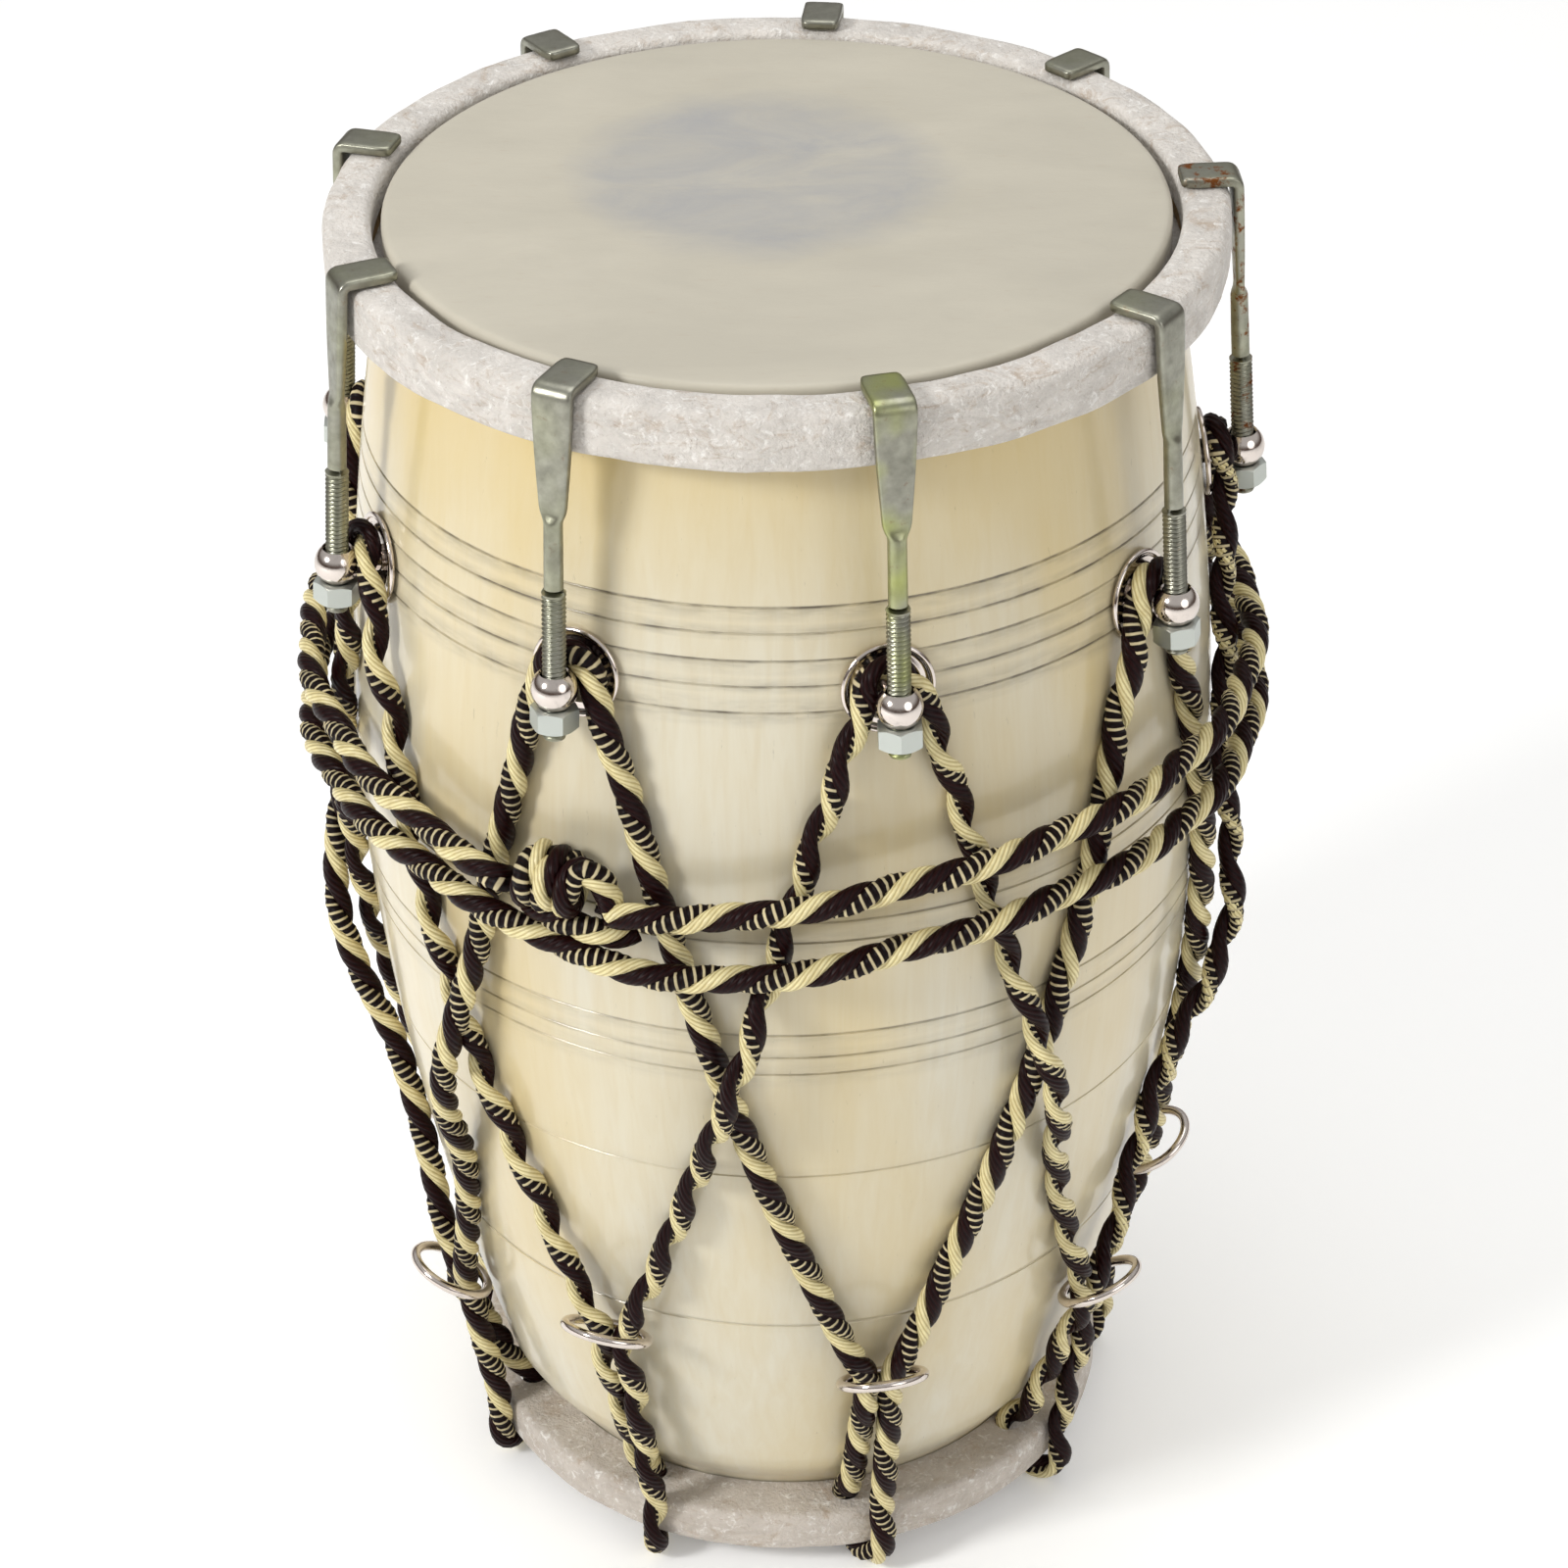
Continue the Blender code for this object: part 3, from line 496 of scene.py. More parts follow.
def lacquered_wood(colours):
    """Turned mango wood under clear lacquer: pale upright streaks, broad amber patches, amber painted shade
    beneath the upper hoop (partly thicker lacquer there too), dark burnt lines.
    """
    material, tree, shader = new_material(
        "lacquered_mango_wood", IOR=1.5, Coat_Weight=0.6, Coat_Roughness=0.12, Coat_IOR=1.5
    )
    streaks = spread(tree, grain(tree, 0.0035, 6, 0.6, (1, 1, 22), 0.6), 0.35, 0.7)
    broad = spread(tree, grain(tree, 0.05, 3, 0.5, (1, 1, 3)), 0.42, 0.72, 0, 0.55)
    faint = calculate(tree, "MULTIPLY", streaks, 0.55)
    colour = blend_colour(tree, faint, tuple(colours.wood), tuple(colours.wood_streak))
    colour = blend_colour(tree, broad, colour, tuple(colours.wood_amber))
    # Painted shade: amber laid over the top of the wood up to the upper hoop, where the hoop's overhang
    # shades it, partly also thicker lacquer there.
    height = calculate(tree, "ADD", drum_height(tree), calculate(tree, "MULTIPLY", broad, 0.03))
    under_hoop_shade_and_lacquer = spread(tree, height, 0.33, 0.4, 0, 0.75)
    colour = blend_colour(tree, under_hoop_shade_and_lacquer, colour, tuple(colours.wood_amber))
    specks = spread(tree, grain(tree, 0.0011, 3, 0.7, (1, 1, 6)), 0.68, 0.8, 0, 0.35)
    colour = blend_colour(tree, specks, colour, tuple(colours.groove))
    groove = add_node(tree, "ShaderNodeAttribute", attribute_name="groove").outputs["Fac"]
    worn = spread(tree, grain(tree, 0.012, 3, 0.6, (1, 1, 0.2)), 0.4, 0.62, 0.25, 0.9)
    colour = blend_colour(tree, calculate(tree, "MULTIPLY", groove, worn), colour, tuple(colours.groove))
    rough = spread(tree, grain(tree, 0.02, 4), 0.3, 0.7, 0.28, 0.42)
    paint(tree, shader, colour, rough)
    add_bump(tree, shader, grain(tree, 0.006, 3, 0.5, (1, 1, 8)), 0.00006)
    return material


def drum_skin(colours):
    """Goat skin stretched flat: cream, faintly streaked, with the paste's grey bloom off its centre."""
    material, tree, shader = new_material("stretched_goat_skin", IOR=1.45, Sheen_Weight=0.1)
    cloudy = spread(tree, grain(tree, 0.03, 5, 0.6, (2.2, 1, 1), 0.4), 0.35, 0.7)
    pale = tuple(min(1, value * 1.12) for value in colours.skin)
    colour = blend_colour(tree, cloudy, tuple(colours.skin), pale)
    place = add_node(tree, "ShaderNodeTexCoord").outputs["Object"]
    centre = (-0.004, 0.016, TOTAL_HEIGHT)
    offset = add_node(tree, "ShaderNodeVectorMath", {0: place, 1: centre}, operation="SUBTRACT")
    length = add_node(tree, "ShaderNodeVectorMath", {0: offset.outputs[0]}, operation="LENGTH")
    ragged = calculate(tree, "MULTIPLY", grain(tree, 0.016, 5, 0.65, (1.6, 1, 1)), 0.016)
    edge = calculate(tree, "ADD", length.outputs["Value"], ragged)
    bloom = spread(tree, edge, 0.062, 0.048)
    patches = spread(tree, grain(tree, 0.022, 6, 0.7, (1.8, 1, 1), 0.8), 0.3, 0.68, 0.25, 0.95)
    smudge = calculate(tree, "MULTIPLY", bloom, patches)
    colour = blend_colour(tree, smudge, colour, tuple(colours.skin_smudge))
    fibres = spread(tree, grain(tree, 0.0014, 4, 0.6, (5, 1, 1)), 0.6, 0.8, 0, 0.25)
    colour = blend_colour(tree, fibres, colour, tuple(colours.lap_stain))
    paint(tree, shader, colour, spread(tree, grain(tree, 0.01, 4), 0.3, 0.7, 0.42, 0.6))
    add_bump(tree, shader, grain(tree, 0.004, 5, 0.6, (2, 1, 1)), 0.00012)
    return material


def hide_lap(colours):
    """Thick rawhide shrunk over the hoops: chalky white with brown stains, creases and scrape marks."""
    material, tree, shader = new_material(
        "shrunk_rawhide_lap", IOR=1.45, Sheen_Weight=0.15, Sheen_Roughness=0.5
    )
    clouds = spread(tree, grain(tree, 0.012, 8, 0.75, (1.5, 1.5, 0.8), 0.9), 0.4, 0.62, 0, 0.8)
    colour = blend_colour(tree, clouds, tuple(colours.lap), tuple(value * 0.74 for value in colours.lap))
    stain = spread(tree, grain(tree, 0.007, 8, 0.8, (1.6, 1.6, 0.7), 1.2), 0.53, 0.66, 0, 0.75)
    colour = blend_colour(tree, stain, colour, tuple(colours.lap_stain))
    # The lap takes more of the stain colour towards the bottom of the drum, on the lower hoop.
    lower_lap_tint = spread(tree, drum_height(tree), 0.1, 0.05, 0, 0.3)
    colour = blend_colour(tree, lower_lap_tint, colour, tuple(colours.lap_stain))
    cracks = spread(tree, grain(tree, 0.0032, 6, 0.8, (0.8, 0.8, 1.6), 1.6), 0.6, 0.68, 0, 0.7)
    colour = blend_colour(tree, cracks, colour, tuple(value * 0.6 for value in colours.lap_stain))
    chalk = spread(tree, grain(tree, 0.0028, 6, 0.75, (1, 1, 1), 0.8), 0.54, 0.66, 0, 0.75)
    colour = blend_colour(tree, chalk, colour, (0.86, 0.84, 0.8))
    paint(tree, shader, colour, spread(tree, clouds, 0, 0.6, 0.55, 0.78))
    creases = calculate(tree, "ADD", grain(tree, 0.0045, 5, 0.65, (1, 1, 0.6), 0.5), grain(tree, 0.0012, 3))
    add_bump(tree, shader, creases, 0.0006)
    return material


def zinc_plate(colours, name, rust, green):
    """Zinc-plated mild steel: dull grey-green, blotchy, with rust where the plate has worn through."""
    material, tree, shader = new_material(name, Metallic=1.0)
    blotch = spread(tree, grain(tree, 0.004, 5, 0.6), 0.35, 0.7)
    dark = tuple(value * 0.7 for value in colours.zinc)
    colour = blend_colour(tree, blotch, tuple(colours.zinc), dark)
    passivated = spread(tree, grain(tree, 0.018, 2), 0.4, 0.65, 0, green)
    colour = blend_colour(tree, passivated, colour, linear("#A8AE62"))
    low, high, most = 0.62 - 0.12 * rust, 0.7 - 0.1 * rust, min(1, 0.3 + rust)
    speck = spread(tree, grain(tree, 0.0035, 5, 0.7), low, high, 0, most)
    colour = blend_colour(tree, speck, colour, linear("#7A4A26"))
    satin = spread(tree, blotch, 0, 1, 0.3, 0.44)
    rough = calculate(tree, "ADD", satin, calculate(tree, "MULTIPLY", speck, 0.3))
    paint(tree, shader, colour, rough)
    add_bump(tree, shader, grain(tree, 0.0012, 4, 0.7), 0.00005)
    return material


def nickel_plate(colours):
    """Polished nickel-chrome plate: near mirror, faintly warm, with fine haze and pits."""
    material, tree, shader = new_material("polished_nickel_plate", Metallic=1.0)
    haze = grain(tree, 0.0025, 5, 0.6)
    dull = tuple(value * 0.62 for value in colours.plate)
    colour = blend_colour(tree, spread(tree, haze, 0.55, 0.75, 0, 0.5), tuple(colours.plate), dull)
    paint(tree, shader, colour, spread(tree, haze, 0.35, 0.7, 0.08, 0.2))
    add_bump(tree, shader, grain(tree, 0.0016, 3), 0.000015)
    return material


def strand_material(name, gloss, roughness):
    """A satin thread material, and its place along (metres) and round (turns) the strand."""
    material, tree, shader = new_material(
        name, IOR=1.5, Specular_IOR_Level=gloss, Roughness=roughness
    )
    lay = add_node(tree, "ShaderNodeUVMap", uv_map="lay").outputs["UV"]
    split = add_node(tree, "ShaderNodeSeparateXYZ", {"Vector": lay})
    return material, tree, shader, split.outputs["X"], split.outputs["Y"]


def wave(tree, along, round_it, along_period, round_count):
    """A 0..1 sine that repeats each period along the strand and so many times round it."""
    first = calculate(tree, "MULTIPLY", along, 2 * math.pi / along_period)
    second = calculate(tree, "MULTIPLY_ADD", round_it, 2 * math.pi * round_count, first)
    return calculate(tree, "MULTIPLY_ADD", calculate(tree, "SINE", second), 0.5, 0.5)


def satin_strand(name, colour, dark, gloss, roughness):
    """Rayon satin threads laid along a strand: fine slanting lines, with the dark tone painted as shade in
    the valleys between threads and also used for random mottling.
    """
    material, tree, shader, along, round_it = strand_material(name, gloss, roughness)
    # A real yarn is about 0.5 mm wide. These are two to three times as wide, so that they show.
    threads = wave(tree, along, round_it, 0.009, 9)
    uneven = spread(tree, grain(tree, 0.004, 3), 0.35, 0.7)
    # Painted shade: the dark tone is laid where the thread bump is lowest, between the threads.
    factor = calculate(tree, "MULTIPLY", spread(tree, threads, 0.05, 0.6, 1, 0), 0.6)
    tone = blend_colour(tree, factor, colour, dark)
    tone = blend_colour(tree, calculate(tree, "MULTIPLY", uneven, 0.35), tone, dark)
    paint(tree, shader, tone)
    add_bump(tree, shader, threads, 0.00018)
    return material


def wrapped_strand(colours, sizes):
    """A black strand wound crosswise with a pale metallic thread, a turn every few millimetres."""
    material, tree, shader, along, round_it = strand_material("wrapped_black_strand", 0.12, 0.5)
    turns = wave(tree, along, round_it, sizes.wrap_spacing, 1)
    uneven = spread(tree, grain(tree, 0.009, 3, 0.6), 0.3, 0.7, 0.5, 1.0)
    thread = calculate(tree, "MULTIPLY", spread(tree, turns, 0.72, 0.9), uneven)
    fine = wave(tree, along, round_it, 0.0007, 3)
    faint = calculate(tree, "MULTIPLY", fine, 0.5)
    dark = blend_colour(tree, faint, tuple(colours.black_strand), tuple(colours.maroon_strand))
    paint(tree, shader, blend_colour(tree, thread, dark, tuple(colours.wrap_thread)))
    height = calculate(tree, "ADD", turns, calculate(tree, "MULTIPLY", fine, 0.2))
    add_bump(tree, shader, height, 0.00025)
    return material


def plain_inner(name, hex_colour, size, roughness, **values):
    """An inner piece under the hide: one mottled tone."""
    material, tree, shader = new_material(name, **values)
    tone = linear(hex_colour)
    mottled = spread(tree, grain(tree, size, 4), 0.35, 0.7)
    paint(tree, shader, blend_colour(tree, mottled, tone, tuple(value * 0.6 for value in tone)),
          spread(tree, mottled, 0, 1, roughness - 0.1, roughness))
    return material


# ---------------------------------------------------------------- shell and heads

def shell_outline(sizes):
    """Outer profile with its turned lines, then the plain bore."""
    lower_seat = LOWER_SKIRT_RADIUS - HIDE - GAP
    upper_seat = UPPER_SKIRT_RADIUS - HIDE - GAP
    bottom, top = HIDE + GAP, TOTAL_HEIGHT - HIDE - GAP
    seat_top = LOWER_HOOP_TOP + GAP
    heights = list(np.linspace(LOWER_SHOULDER, UPPER_SHOULDER, 72))
    half = sizes.groove_width / 2
    cuts = {}
    for height, _ in GROOVES:
        heights = [other for other in heights if abs(other - height) > half * 1.5]
        for share, depth in ((-1, 0), (-0.45, 0.85), (0, 1), (0.45, 0.85), (1, 0)):
            cuts[height + share * half] = depth * sizes.groove_depth
    outline = [(lower_seat, bottom), (lower_seat, seat_top)]
    flare = LOWER_SHOULDER_RADIUS - lower_seat
    outline.append((lower_seat + FLARE_SHARE * flare, seat_top + FLARE_RISE))
    outline.append((lower_seat + 0.8 * flare, seat_top + FLARE_TOP))
    for height in sorted(heights + list(cuts)):
        outline.append((shell_radius(height) - cuts.get(height, 0), height))
    outline.append((upper_seat, UPPER_HOOP_BOTTOM - 2 * GAP))
    outline += [(upper_seat, top), (upper_seat - SHELL_WALL, top)]
    for height in np.linspace(UPPER_SHOULDER - 2 * SHELL_WALL, LOWER_SHOULDER + 2 * SHELL_WALL, 12):
        outline.append((shell_radius(height) - SHELL_WALL, height))
    outline += [(lower_seat - SHELL_WALL, seat_top), (lower_seat - SHELL_WALL, bottom)]
    return outline


def mark_grooves(piece, sizes):
    """A point attribute that is highest at the bottom of each turned line."""
    points = points_of(piece)
    marks = np.zeros(len(points))
    for height, darkness in GROOVES:
        near = 1 - np.abs(points[:, 2] - height) / (sizes.groove_width * 0.62)
        marks = np.maximum(marks, np.clip(near * 2.2, 0, 1) * darkness)
    attribute = piece.data.attributes.new("groove", "FLOAT", "POINT")
    attribute.data.foreach_set("value", marks.astype(np.float32))


def upper_head_outline():
    skirt, inner, outer = UPPER_SKIRT_RADIUS, UPPER_HOOP_INNER, UPPER_HOOP_RADIUS
    top, bottom = UPPER_HOOP_TOP, UPPER_HOOP_BOTTOM
    corners = [
        (0, TOTAL_HEIGHT, 0),
        (skirt, TOTAL_HEIGHT, 0.0022),
        (skirt, bottom + HIDE, 0.0006),
        (outer - HIDE, bottom + HIDE, 0.0012),
        (outer - HIDE, top - HIDE, 0.0022),
        (inner + HIDE, top - HIDE, 0.0016),
        (inner + HIDE, top - LAP, 0),
        (inner, top - LAP, 0),
        (inner, top, 0.0032),
        (outer, top, 0.0036),
        (outer, bottom, 0.0028),
        (skirt - HIDE, bottom, 0),
        (skirt - HIDE, TOTAL_HEIGHT - HIDE, 0.0012),
        (0, TOTAL_HEIGHT - HIDE, 0),
    ]
    return stretch_rows(rounded(corners, HIDE_BEND_STEPS), UPPER_ROW_SPACING)


def lower_head_outline():
    skirt, inner, outer = LOWER_SKIRT_RADIUS, LOWER_HOOP_INNER, LOWER_HOOP_RADIUS
    top, bottom = LOWER_HOOP_TOP, LOWER_HOOP_BOTTOM
    corners = [
        (0, 0, 0),
        (skirt, 0, 0.0022),
        (skirt, top - HIDE, 0.0006),
        (outer - HIDE, top - HIDE, 0.0012),
        (outer - HIDE, bottom + HIDE, 0.0009),
        (inner + HIDE, bottom + HIDE, 0.0006),
        (inner + HIDE, top - HIDE - LAP / 3, 0),
        (inner, top - HIDE - LAP / 3, 0),
        (inner, bottom, 0.0022),
        (outer, bottom, 0.0024),
        (outer, top, 0.0028),
        (skirt - HIDE, top, 0),
        (skirt - HIDE, HIDE, 0.0012),
        (0, HIDE, 0),
    ]
    return stretch_rows(rounded(corners, HIDE_BEND_STEPS), LOWER_ROW_SPACING)


def split_hide(piece, skin, lap, skirt_radius, height, side):
    """Skin on the flat drumhead, lap hide on the skirt and hoop."""
    piece.data.materials.append(skin)
    piece.data.materials.append(lap)
    for face in piece.data.polygons:
        centre = face.center
        flat = math.hypot(centre.x, centre.y) < skirt_radius and (centre.z - height) * side > -0.004
        face.material_index = 0 if flat else 1


class DRUM_OT_shell(bpy.types.Operator):
    """Turn the lacquered wooden shell with its grooves"""
    bl_idname = "drum.shell"
    bl_label = "Shell"

    def execute(self, context):
        sizes, colours = context.scene.drum_sizes, context.scene.drum_colours
        shell = turned("turned_shell", shell_outline(sizes), sizes.turning_steps, closed=True, angle=50)
        mark_grooves(shell, sizes)
        settle(shell, lacquered_wood(colours), "drum", "lacquered_wood", "shell")
        return {"FINISHED"}


class DRUM_OT_heads(bpy.types.Operator):
    """Stretch the upper and lower hides over their hoops"""
    bl_idname = "drum.heads"
    bl_label = "Heads"

    def execute(self, context):
        sizes, colours = context.scene.drum_sizes, context.scene.drum_colours
        skin, lap = drum_skin(colours), hide_lap(colours)
        upper = turned("upper_hide", upper_head_outline(), sizes.turning_steps, angle=60)
        inner = UPPER_HOOP_INNER - 0.0005

        def on_upper_hoop(point):
            return min(1, max(0, (math.hypot(point.x, point.y) - inner) / 0.001))

        ruffle(upper, sizes.hide_waviness, 0.017, 3.1, on_upper_hoop)
        split_hide(upper, skin, lap, UPPER_SKIRT_RADIUS, TOTAL_HEIGHT, 1)
        settle(upper, None, "drum", "rawhide", "upper_head")

        lower = turned("lower_hide", lower_head_outline(), sizes.turning_steps, angle=60)
        outer = LOWER_HOOP_RADIUS - 0.003

        def on_lower_hoop(point):
            return min(1, max(0, (math.hypot(point.x, point.y) - outer) / 0.002))

        ruffle(lower, sizes.hide_waviness * 0.7, 0.015, 7.7, on_lower_hoop)
        self.punch_lace_holes(lower)
        split_hide(lower, skin, lap, LOWER_SKIRT_RADIUS, 0, -1)
        settle(lower, None, "drum", "rawhide", "lower_head")
        return {"FINISHED"}

    def punch_lace_holes(self, lower):
        clear_selection()
        punches = []
        for number in range(FITTINGS):
            angle = fitting_angle(number) - PAIR_HALF / LACE_HOLE_CENTRE
            bpy.ops.mesh.primitive_cylinder_add(
                vertices=24,
                radius=ROPE_RADIUS + HOLE_CLEARANCE,
                depth=0.006,
                location=around(angle, LACE_HOLE_CENTRE, LOWER_HOOP_TOP - HIDE / 2),
            )
            punches.append(bpy.context.object)
        clear_selection()
        for punch in punches:
            punch.select_set(True)
        bpy.context.view_layer.objects.active = punches[0]
        bpy.ops.object.join()
        cut_with(lower, punches[0], "DIFFERENCE")
        smooth_shade(lower, 60)


class DRUM_OT_inner_parts(bpy.types.Operator):
    """Finish the hoop cores and the paste that the hide covers"""
    bl_idname = "drum.inner_parts"
    bl_label = "Inner parts"

    def execute(self, context):
        finishes = {
            "upper_hoop_core": plain_inner("coiled_cane", "#A98A5A", 0.004, 0.75),
            "lower_hoop_core": plain_inner("black_iron", "#4A4743", 0.006, 0.6, Metallic=1.0),
            "bass_paste": plain_inner("tuning_paste", "#26231F", 0.003, 0.9),
        }
        for node, material in finishes.items():
            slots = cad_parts[node].data.materials
            slots.clear()
            slots.append(material)
        return {"FINISHED"}


# ---------------------------------------------------------------- fittings

HOOK_SIDES = 24
THREAD_DEPTH = 0.00062
# The blunted end of the tab: distance from the end, and shares of its width and thickness.
TAB_END = ((0, 0.6, 0.45), (0.0002, 0.78, 0.75), (0.0007, 0.88, 0.95), (0.0018, 0.95, 1), (0.004, 1, 1))
# The strap down to the rod: share of its length, half width and half thickness in mm, squareness.
STRAP = (
    (0.12, 5.45, 1.5, 6), (0.3, 5.2, 1.5, 6), (0.5, 4.8, 1.45, 6), (0.68, 4.35, 1.4, 5.5),
    (0.82, 4.0, 1.3, 5), (0.92, 3.75, 1.25, 4.5), (0.96, 3.5, 1.3, 4), (0.995, 3.1, 1.6, 3),
    (1.02, 2.7, 2.1, 2.4), (1.05, 2.45, 2.4, 2),
)


def bar_section(centre, tangent, half_width, half_depth, squareness):
    """A ring of points round a path in the XZ plane: squareness 2 is round, 6 is a bar with soft edges."""
    across = Vector((tangent[1], 0, -tangent[0]))
    middle = Vector((centre[0], 0, centre[1]))
    ring = []
    for number in range(HOOK_SIDES):
        turn = 2 * math.pi * number / HOOK_SIDES
        reach_y = math.copysign(abs(math.cos(turn)) ** (2 / squareness), math.cos(turn))
        reach_x = math.copysign(abs(math.sin(turn)) ** (2 / squareness), math.sin(turn))
        ring.append(middle + Vector((0, 1, 0)) * (reach_y * half_width) + across * (reach_x * half_depth))
    return ring


def hook_rings(pitch):
    """Rings of points from the tab's end over the bend, down the strap and rod, to the thread's end."""
    centre, _ = eye_frame()
    top, up, level = strap_top(), bolt_direction(), Vector((1, 0))
    reach = UPPER_HOOP_WIDTH
    bend = STRAP_THICKNESS / 2 + STRAP_GAP
    half, wide = STRAP_THICKNESS / 2, STRAP_WIDTH / 2
    length = (top - centre).length
    rings = []
    start = top - level * (reach + bend)
    for along, width, depth in TAB_END:
        rings.append(bar_section(start + level * along, level, wide * width, half * depth, 6))
    for share in (0.4, 0.7):
        rings.append(bar_section(start + level * reach * share, level, wide, half, 6))
    before, after = top - level * bend, top - up * bend
    for step in range(9):
        share = step / 8
        tangent = (level * (1 - share) - up * share).normalized()
        place = before * (1 - share) ** 2 + top * (2 * share * (1 - share)) + after * share**2
        rings.append(bar_section(place, tangent, wide, half, 6))
    for share, width, depth, squareness in STRAP:
        along = length - STRAP_LENGTH * share
        rings.append(bar_section(centre + up * along, -up, width / 1000, depth / 1000, squareness))
    thread_top = length - STRAP_LENGTH - SHANK_LENGTH
    for along in (thread_top + 0.008, thread_top + 0.0012):
        rings.append(bar_section(centre + up * along, -up, ROD_RADIUS, ROD_RADIUS, 2))
    bottom = -(BALL_HALF_HEIGHT + GAP + NUT_HEIGHT + BOLT_TAIL)
    rows = round((thread_top - bottom) / (pitch / 6))
    across = Vector((up[1], 0, -up[0]))
    for row in range(rows + 1):
        along = thread_top + (bottom - thread_top) * row / rows
        fade = min(1, (thread_top - along) / pitch, max(0, (along - bottom) / (pitch * 0.8)))
        ring = []
        for number in range(HOOK_SIDES):
            turn = 2 * math.pi * number / HOOK_SIDES
            cycle = (along / pitch + number / HOOK_SIDES) % 1
            groove = 1 - abs(2 * cycle - 1)
            chamfer = 0.0004 * max(0, 1 - (along - bottom) / 0.0007)
            radius = BOLT_DIAMETER / 2 - THREAD_DEPTH * groove * fade - chamfer
            middle = centre + up * along
            outward = Vector((0, 1, 0)) * math.cos(turn) + across * math.sin(turn)
            ring.append(Vector((middle[0], 0, middle[1])) + outward * radius)
        rings.append(ring)
    return rings


def skin_rings(name, rings):
    """A closed surface over rings of equal count, capped at both ends."""
    count = len(rings[0])
    points = [point for ring in rings for point in ring]
    faces = []
    for row in range(len(rings) - 1):
        here, after = row * count, (row + 1) * count
        for side in range(count):
            beside = (side + 1) % count
            faces.append((here + side, here + beside, after + beside, after + side))
    faces.append(tuple(range(count))[::-1])
    faces.append(tuple((len(rings) - 1) * count + side for side in range(count)))
    piece = object_from(name, points, [], faces)
    bpy.ops.object.mode_set(mode="EDIT")
    bpy.ops.mesh.select_all(action="SELECT")
    bpy.ops.mesh.normals_make_consistent(inside=False)
    bpy.ops.object.mode_set(mode="OBJECT")
    return piece


class DRUM_OT_hook_bolts(bpy.types.Operator):
    """Forge the hook bolts: tab, bend, tapered strap, rod and cut thread"""
    bl_idname = "drum.hook_bolts"
    bl_label = "Hook bolts"

    def execute(self, context):
        sizes, colours = context.scene.drum_sizes, context.scene.drum_colours
        template = skin_rings("hook_template", hook_rings(sizes.thread_pitch))
        smooth_shade(template, 38)
        plain = zinc_plate(colours, "zinc_plated_steel", 0.0, 0.12)
        rusted = zinc_plate(colours, "rusting_zinc_plate", 0.75, 0.1)
        greened = zinc_plate(colours, "green_passivated_zinc", 0.0, 0.75)
        special = {1: greened, 3: rusted}
        for number in range(FITTINGS):
            label = number + 1
            hook = copy_round(template, number, f"forged_hook_{label}")
            finish = special.get(number, plain)
            settle(hook, finish, f"hook_{label}", "zinc_plated_steel", f"hook_bolt_{label}")
        bpy.data.objects.remove(template)
        return {"FINISHED"}


def bolt_matrix(offset=0.0):
    """Carries a piece made on the Z axis onto the bolt's line, so far above the ball's centre."""
    centre, _ = eye_frame()
    up = bolt_direction()
    place = centre + up * offset
    return Matrix.Translation((place[0], 0, place[1])) @ Matrix.Rotation(math.atan2(up[0], up[1]), 4, "Y")


class DRUM_OT_eyes(bpy.types.Operator):
    """Make the plated balls on their posts and the dished washers behind them"""
    bl_idname = "drum.eyes"
    bl_label = "Eyes"

    def execute(self, context):
        plate = nickel_plate(context.scene.drum_colours)
        bore, edge = BOLT_DIAMETER / 2 + BOLT_CLEARANCE, 0.0004
        flat = math.acos(BALL_HALF_HEIGHT / BALL_RADIUS)
        outline = [(bore, -BALL_HALF_HEIGHT + edge), (bore + edge, -BALL_HALF_HEIGHT)]
        for step in range(15):
            turn = math.pi - flat - (math.pi - 2 * flat) * step / 14
            outline.append((BALL_RADIUS * math.sin(turn), BALL_RADIUS * math.cos(turn)))
        outline += [(bore + edge, BALL_HALF_HEIGHT), (bore, BALL_HALF_HEIGHT - edge)]
        ball = turned("ball_template", outline, 48, closed=True, angle=35)
        ball.data.transform(bolt_matrix())
        centre, normal = eye_frame()
        stem = turned("stem_template", rounded([
            (0, -STANDOFF - POST_DEPTH, 0),
            (POST_RADIUS, -STANDOFF - POST_DEPTH, 0),
            (POST_RADIUS, -0.0062, 0),
            (POST_RADIUS + 0.0007, -0.0048, 0),
            (POST_RADIUS, -0.0035, 0),
            (0, -0.0035, 0),
        ]), 32, angle=35)
        lean = Matrix.Rotation(math.atan2(normal[0], normal[1]), 4, "Y")
        stem.data.transform(Matrix.Translation((centre[0], 0, centre[1])) @ lean)
        cut_with(ball, stem, "UNION")
        smooth_shade(ball, 35)
        rim, bead = WASHER_RADIUS, 0.0008
        section = [(POST_RADIUS + GAP, 0.0001), (rim - 2 * bead, 0.0001)]
        section += [
            (rim - bead + bead * math.sin(math.radians(turn)), bead - bead * math.cos(math.radians(turn)))
            for turn in range(0, 271, 30)
        ]
        section += [(rim - 2.3 * bead, 0.0006), (rim - 3.4 * bead, 0.00045), (rim - 4.2 * bead, 0.0009),
                    (rim - 5.4 * bead, 0.0009), (rim - 6.4 * bead, 0.0005), (POST_RADIUS + GAP, 0.0006)]
        washer = turned("washer_template", section, 72, closed=True, angle=50)
        wood = centre - normal * (STANDOFF - GAP)
        washer.data.transform(Matrix.Translation((wood[0], 0, wood[1])) @ lean)
        for number in range(FITTINGS):
            label = number + 1
            post = copy_round(ball, number, f"ball_post_{label}")
            settle(post, plate, "drum", "chrome_plate", f"eye_post_{label}")
            dish = copy_round(washer, number, f"dished_washer_{label}")
            settle(dish, plate, "drum", "chrome_plate", f"eye_washer_{label}")
        bpy.data.objects.remove(ball)
        bpy.data.objects.remove(washer)
        return {"FINISHED"}


